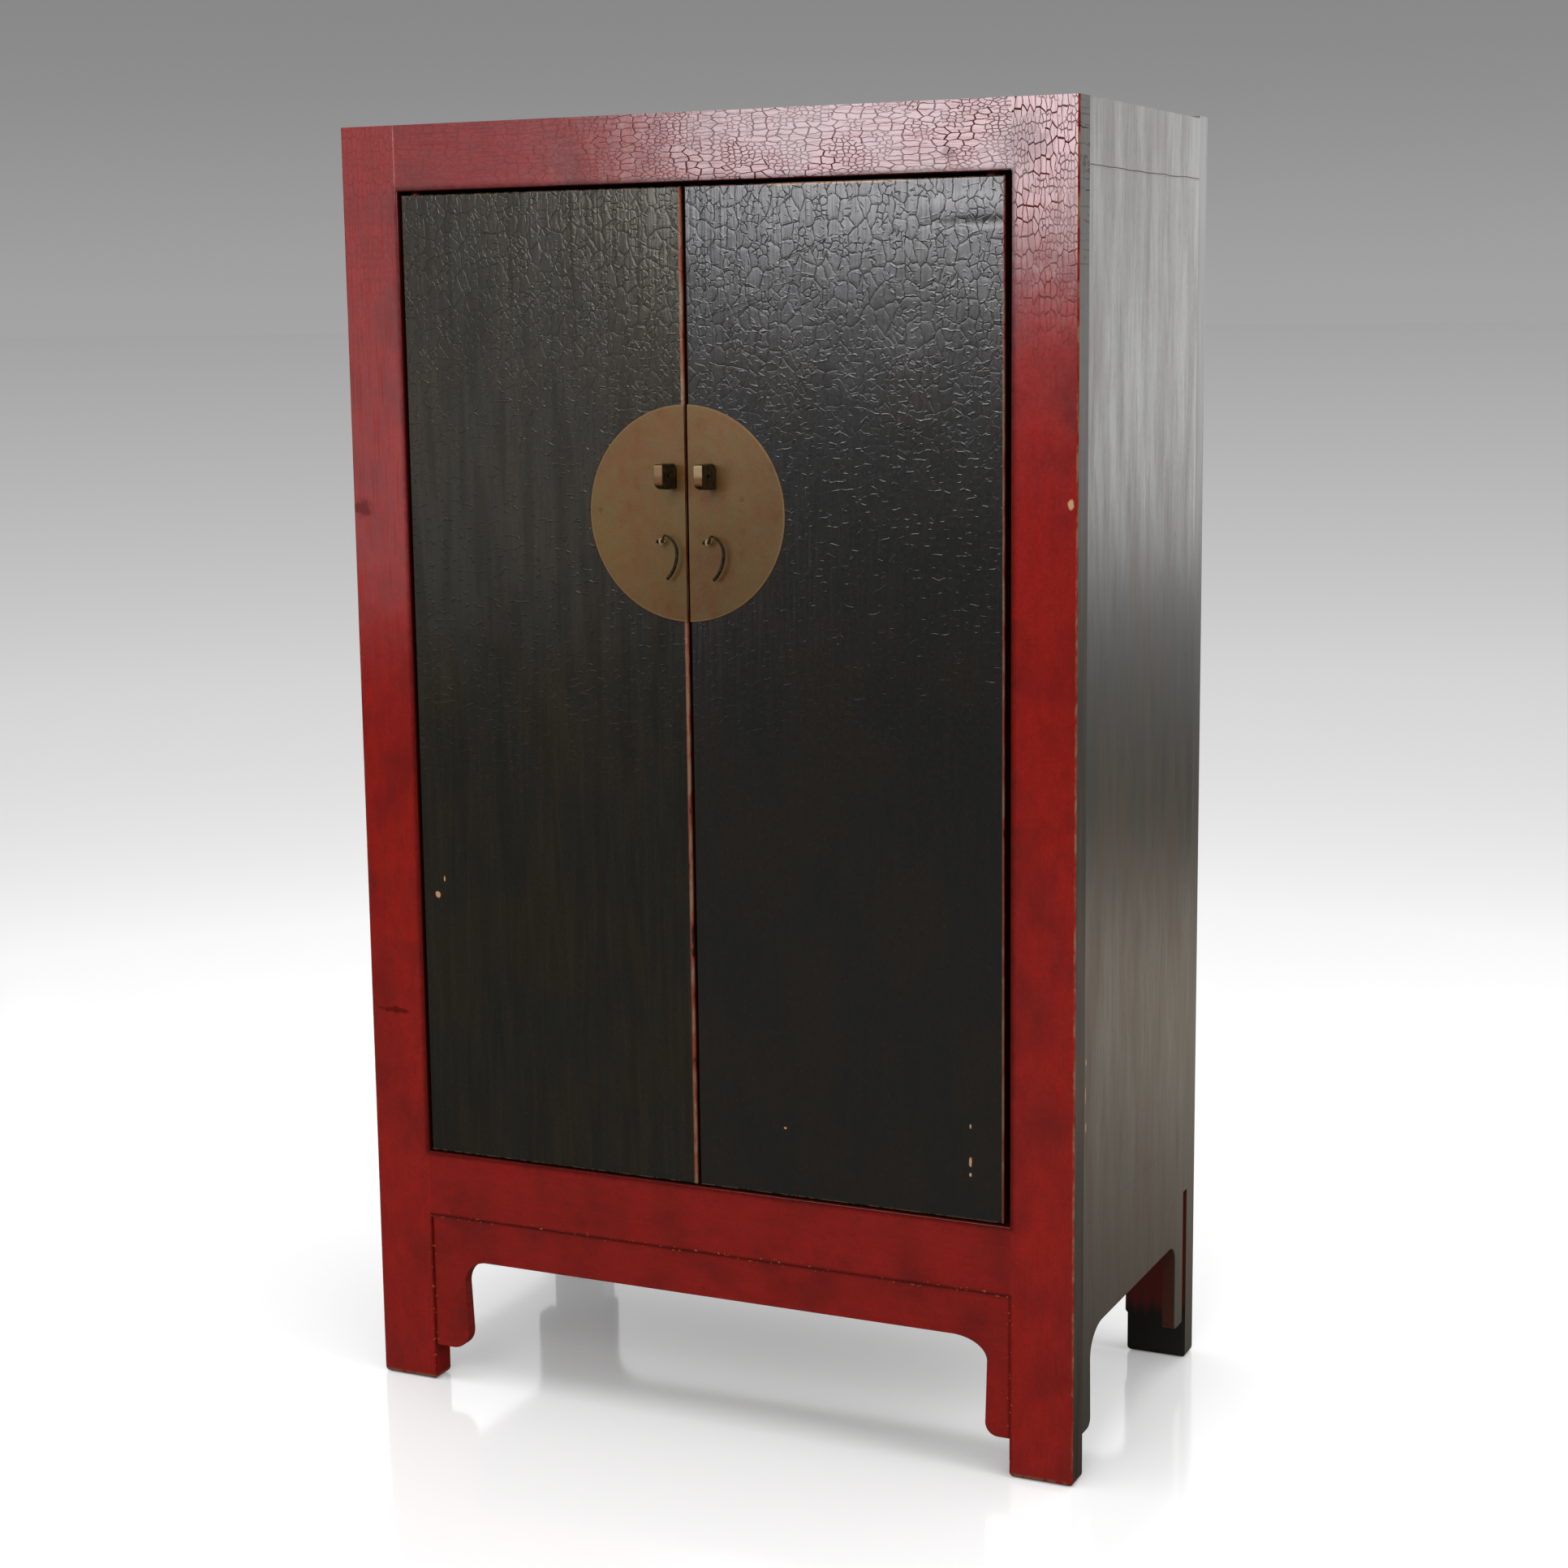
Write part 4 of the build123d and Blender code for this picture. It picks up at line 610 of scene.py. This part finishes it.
def dress_cabinet():
    rail_red = frame_lacquer("red_lacquer_rails", FRONT_Y, along_x=True)
    dress(rail_red, "front_top_rail", "front_bottom_rail")
    apron_y = reach("front_apron", Y)[0]
    dress(frame_lacquer("red_lacquer_apron", apron_y, along_x=True), "front_apron")
    dress(frame_lacquer("red_lacquer_posts", FRONT_Y, along_x=False),
          "front_left_post", "front_right_post")
    dress(door_lacquer("black_lacquer_left_door", right=False),
          "left_door_board", "left_door_pivot_stile")
    dress(door_lacquer("black_lacquer_right_door", right=True),
          "right_door_board", "right_door_pivot_stile")
    dress(side_lacquer("black_lacquer_sides"),
          *(f"{side}_{part}" for side in ("left", "right")
            for part in ("side_panel", "top_rail", "bottom_rail", "apron")))
    dress(rear_post_finish("rear_posts"), "rear_left_post", "rear_right_post")
    along_x = inside_wood("stained_wood_across", (160.0, 12.0, 12.0), BARE_WOOD, BARE_WOOD_DARK)
    dress(along_x, "rear_top_rail", "rear_bottom_rail", "rear_apron", "top_panel", "floor_board",
          "lower_shelf", "upper_shelf", "left_door_upper_batten", "left_door_lower_batten",
          "right_door_upper_batten", "right_door_lower_batten")
    along_y = inside_wood("stained_wood_deep", (12.0, 160.0, 12.0), BARE_WOOD, BARE_WOOD_DARK)
    dress(along_y, "top_batten", "left_floor_batten", "right_floor_batten",
          *(f"{level}_{side}_bearer" for level in ("lower", "upper")
            for side in ("left", "right")))
    along_z = inside_wood("stained_wood_upright", (14.0, 14.0, 180.0), BARE_WOOD, BARE_WOOD_DARK)
    dress(along_z, "left_back_panel", "right_back_panel", "back_muntin")
    dress(plate_brass("old_brass_sheet"), "left_plate", "right_plate")
    dress(lug_brass("cast_brass_lugs"), "left_lock_lug", "right_lock_lug")
    dress(small_brass("brass_eyes", LIGHT_BRASS_AND_HIGHLIGHT, BRASS_BROWN), "left_pull_eye", "right_pull_eye")
    dress(small_brass("blackened_bronze", BRONZE, DARK_BRASS), "left_pull", "right_pull")


# ---------------------------------------------------------------- floor, world and lamps

FLOOR_REACH = 400.0              # metres: far enough to meet the horizon
CAMERA_AWAY = 3.9                # camera to the cabinet, along the floor
CAMERA_HEIGHT = 1.5152
WHITE_TO = 7.2                   # metres from the camera up to which the floor is white
WHITE, HORIZON, TOP = 0.965, 0.643, 0.529         # display greys of floor and backdrop
ROOM_LOW, ROOM_HIGH = 0.12, 0.95  # the room's light at the horizon and overhead
DISPLAY_GAMMA = 2.2
BACKDROP_RISES = (-0.02, 0.12)   # from HORIZON to TOP, by the rise of the line of sight
ROOM_RISES = (0.0, 0.8)          # from ROOM_LOW to ROOM_HIGH, likewise
FLOOR_LIT = 0.77                 # how far light and shadow show on the floor
FLOOR_GLOW, FAR_GLOW = 0.2, 0.34                # the rest of its tone, near and far away
GLOW_RISES = (3.0, 9.0)          # metres from the cabinet, as are the next two
GLOSS_ENDS = (1.6, 3.2)
SHEEN_ENDS = (3.4, 4.6)
SHEEN_BEGINS, SHEEN_RISES = (-0.6, 0.6), (0.2, 2.8)         # metres along Y
FLOOR_GLOSS, FLOOR_ROUGHNESS = 0.15, 0.1
FLOOR_BOUNCE = paint("#aaa49a")  # what lights the cabinet from below
FLOOR_NEAR = paint("#8d857a")    # what its sides mirror, close by
FLOOR_SHEEN = paint("#f6e8d6")   # and further back
FLOOR_DARK = paint("#5a5853")    # what its front mirrors


def floor_finish():
    """A pale floor that fades to grey far away, as the backdrop does above it.

    It mirrors the feet faintly. The cabinet's lacquer sees it light behind the cabinet and
    darker in front of it.
    """
    f = Finish(bpy.data.materials.new("studio_floor"))
    f.owner.cycles.emission_sampling = "NONE"
    place = f.node("ShaderNodeTexCoord", output="Object")
    _, along, _ = f.split(place)
    flat = f.vector("MULTIPLY", place, (1, 1, 0))
    away = f.node("ShaderNodeVectorMath", {"operation": "LENGTH"}, {0: flat}, output="Value")
    near = f.lower(WHITE_TO / (away + CAMERA_AWAY), 1.0)
    tone = (HORIZON + (WHITE - HORIZON) * near) ** DISPLAY_GAMMA
    seen = f.grey(tone)
    lit = f.node("ShaderNodeBsdfDiffuse", inputs={"Color": f.shade(seen, FLOOR_LIT)})
    strength = FLOOR_GLOW + (FAR_GLOW - FLOOR_GLOW) * f.step(away, *GLOW_RISES)
    glow = f.node("ShaderNodeEmission", inputs={"Color": seen, "Strength": strength})
    body = f.node("ShaderNodeAddShader", inputs={0: lit, 1: glow})
    gloss = f.node("ShaderNodeBsdfGlossy", inputs={
        "Color": (1, 1, 1, 1), "Roughness": FLOOR_ROUGHNESS})
    share = FLOOR_GLOSS * f.fade(away, *GLOSS_ENDS)
    polished = f.node("ShaderNodeMixShader", inputs={0: share, 1: body, 2: gloss})
    behind = f.step(along, *SHEEN_BEGINS) * f.fade(away, *SHEEN_ENDS)
    sheen = f.mix(f.step(along, *SHEEN_RISES), FLOOR_NEAR, FLOOR_SHEEN)
    mirrored = f.mix(behind, FLOOR_DARK, sheen)
    glossy = f.node("ShaderNodeLightPath", output="Is Glossy Ray")
    unseen = f.mix(glossy, FLOOR_BOUNCE, mirrored)
    plain = f.node("ShaderNodeBsdfDiffuse", inputs={"Color": unseen})
    rays = f.node("ShaderNodeLightPath", output="Is Camera Ray")
    both = f.node("ShaderNodeMixShader", inputs={0: rays, 1: plain, 2: polished})
    f.node("ShaderNodeOutputMaterial", inputs={"Surface": both})
    return f.owner


def build_floor():
    bpy.ops.mesh.primitive_plane_add(size=2 * FLOOR_REACH)
    floor = bpy.context.object
    floor.name = "studio_floor"
    floor.data.materials.append(floor_finish())


def build_world():
    """The camera sees a grey backdrop; the cabinet is lit by a room that is bright overhead."""
    f = Finish(bpy.data.worlds.new("studio"))
    bpy.context.scene.world = f.owner
    f.owner.cycles_visibility.glossy = False
    place = f.node("ShaderNodeTexCoord", output="Generated")
    _, _, up = f.split(place)
    tone = (HORIZON - (HORIZON - TOP) * f.step(up, *BACKDROP_RISES)) ** DISPLAY_GAMMA
    level = ROOM_LOW + (ROOM_HIGH - ROOM_LOW) * f.step(up, *ROOM_RISES)
    rays = f.node("ShaderNodeLightPath", output="Is Camera Ray")
    backdrop = f.node("ShaderNodeBackground", inputs={"Color": f.grey(tone), "Strength": 1.0})
    light = f.node("ShaderNodeBackground", inputs={"Color": f.grey(level), "Strength": 1.0})
    both = f.node("ShaderNodeMixShader", inputs={0: rays, 1: light, 2: backdrop})
    f.node("ShaderNodeOutputWorld", inputs={"Surface": both})


MIDDLE = (0.0, 0.0, 0.9)         # of the cabinet
LAMPS = [                        # name, place, target, size, radiance, whether it is mirrored
    ("window", (-1.2, -4.5, 2.57), (-1.2, 0.0, 2.57), (2.0, 1.66), 8.7, True),
    ("window_side", (-4.8, -4.5, 2.55), (-4.8, 0.0, 2.55), (5.2, 3.9), 0.68, True),
    ("front_fill", (0.2, -4.9, 3.4), MIDDLE, (3.0, 2.0), 4.1, False),
    ("overhead", (0.0, -0.6, 4.6), MIDDLE, (3.0, 3.0), 2.7, False),
    ("side_fill", (4.6, -0.6, 2.6), MIDDLE, (2.0, 2.0), 6.5, False),
    ("back_wall", (2.0, 4.7, 2.4), (2.0, 0.0, 2.4), (3.0, 3.2), 2.1, True),
    ("back_wall_foot", (2.0, 4.7, 0.55), (2.0, 0.0, 0.55), (3.0, 0.7), 0.2, True),
    ("left_wall", (-5.0, 2.0, 2.2), (0.0, 2.0, 2.2), (5.0, 3.0), 0.8, True),
    ("floor_sheen", (-2.6, 6.0, 3.0), (-0.6, 0.0, 1.0), (7.0, 5.6), 1.0, True)]


def build_lamps():
    """Rectangular lamps, each turned to face its target.

    The mirrored ones show only in the gloss of the surfaces. The others only fill them evenly.
    """
    for name, place, target, (width, height), radiance, mirrored in LAMPS:
        light = bpy.data.lights.new(name, "AREA")
        light.shape = "RECTANGLE"
        light.size, light.size_y = width, height
        light.energy = 4 * width * height * radiance
        holder = bpy.data.objects.new(name, light)
        bpy.context.scene.collection.objects.link(holder)
        holder.location = place
        toward = Vector(target) - Vector(place)
        holder.rotation_euler = toward.to_track_quat("-Z", "Y").to_euler()
        holder.visible_camera = False
        holder.visible_diffuse = not mirrored
        holder.visible_glossy = mirrored


# ---------------------------------------------------------------- camera

CAMERA_X = 1.6536
CAMERA_FROM_FRONT = 3.2946
YAW, PITCH, ROLL = -0.4343, -0.1646, -0.0119      # from +Y towards +X, up, and about the view
LENS_PER_WIDTH = 3445.5 / 1932                    # focal length over the picture's width
SENSOR = 36.0


def build_camera():
    camera = bpy.data.cameras.new("camera")
    camera.sensor_fit = "HORIZONTAL"
    camera.sensor_width = SENSOR
    camera.lens = SENSOR * LENS_PER_WIDTH
    camera.clip_end = 2 * FLOOR_REACH
    holder = bpy.data.objects.new("camera", camera)
    bpy.context.scene.collection.objects.link(holder)
    turn = Matrix.Rotation(-YAW, 4, "Z") @ Matrix.Rotation(math.pi / 2 + PITCH, 4, "X")
    place = (CAMERA_X, FRONT_Y * MM - CAMERA_FROM_FRONT, CAMERA_HEIGHT)
    holder.matrix_world = Matrix.Translation(place) @ turn @ Matrix.Rotation(ROLL, 4, "Z")
    bpy.context.scene.camera = holder


dress_cabinet()
build_floor()
build_world()
build_lamps()
build_camera()
bpy.context.scene.view_settings.view_transform = "Standard"
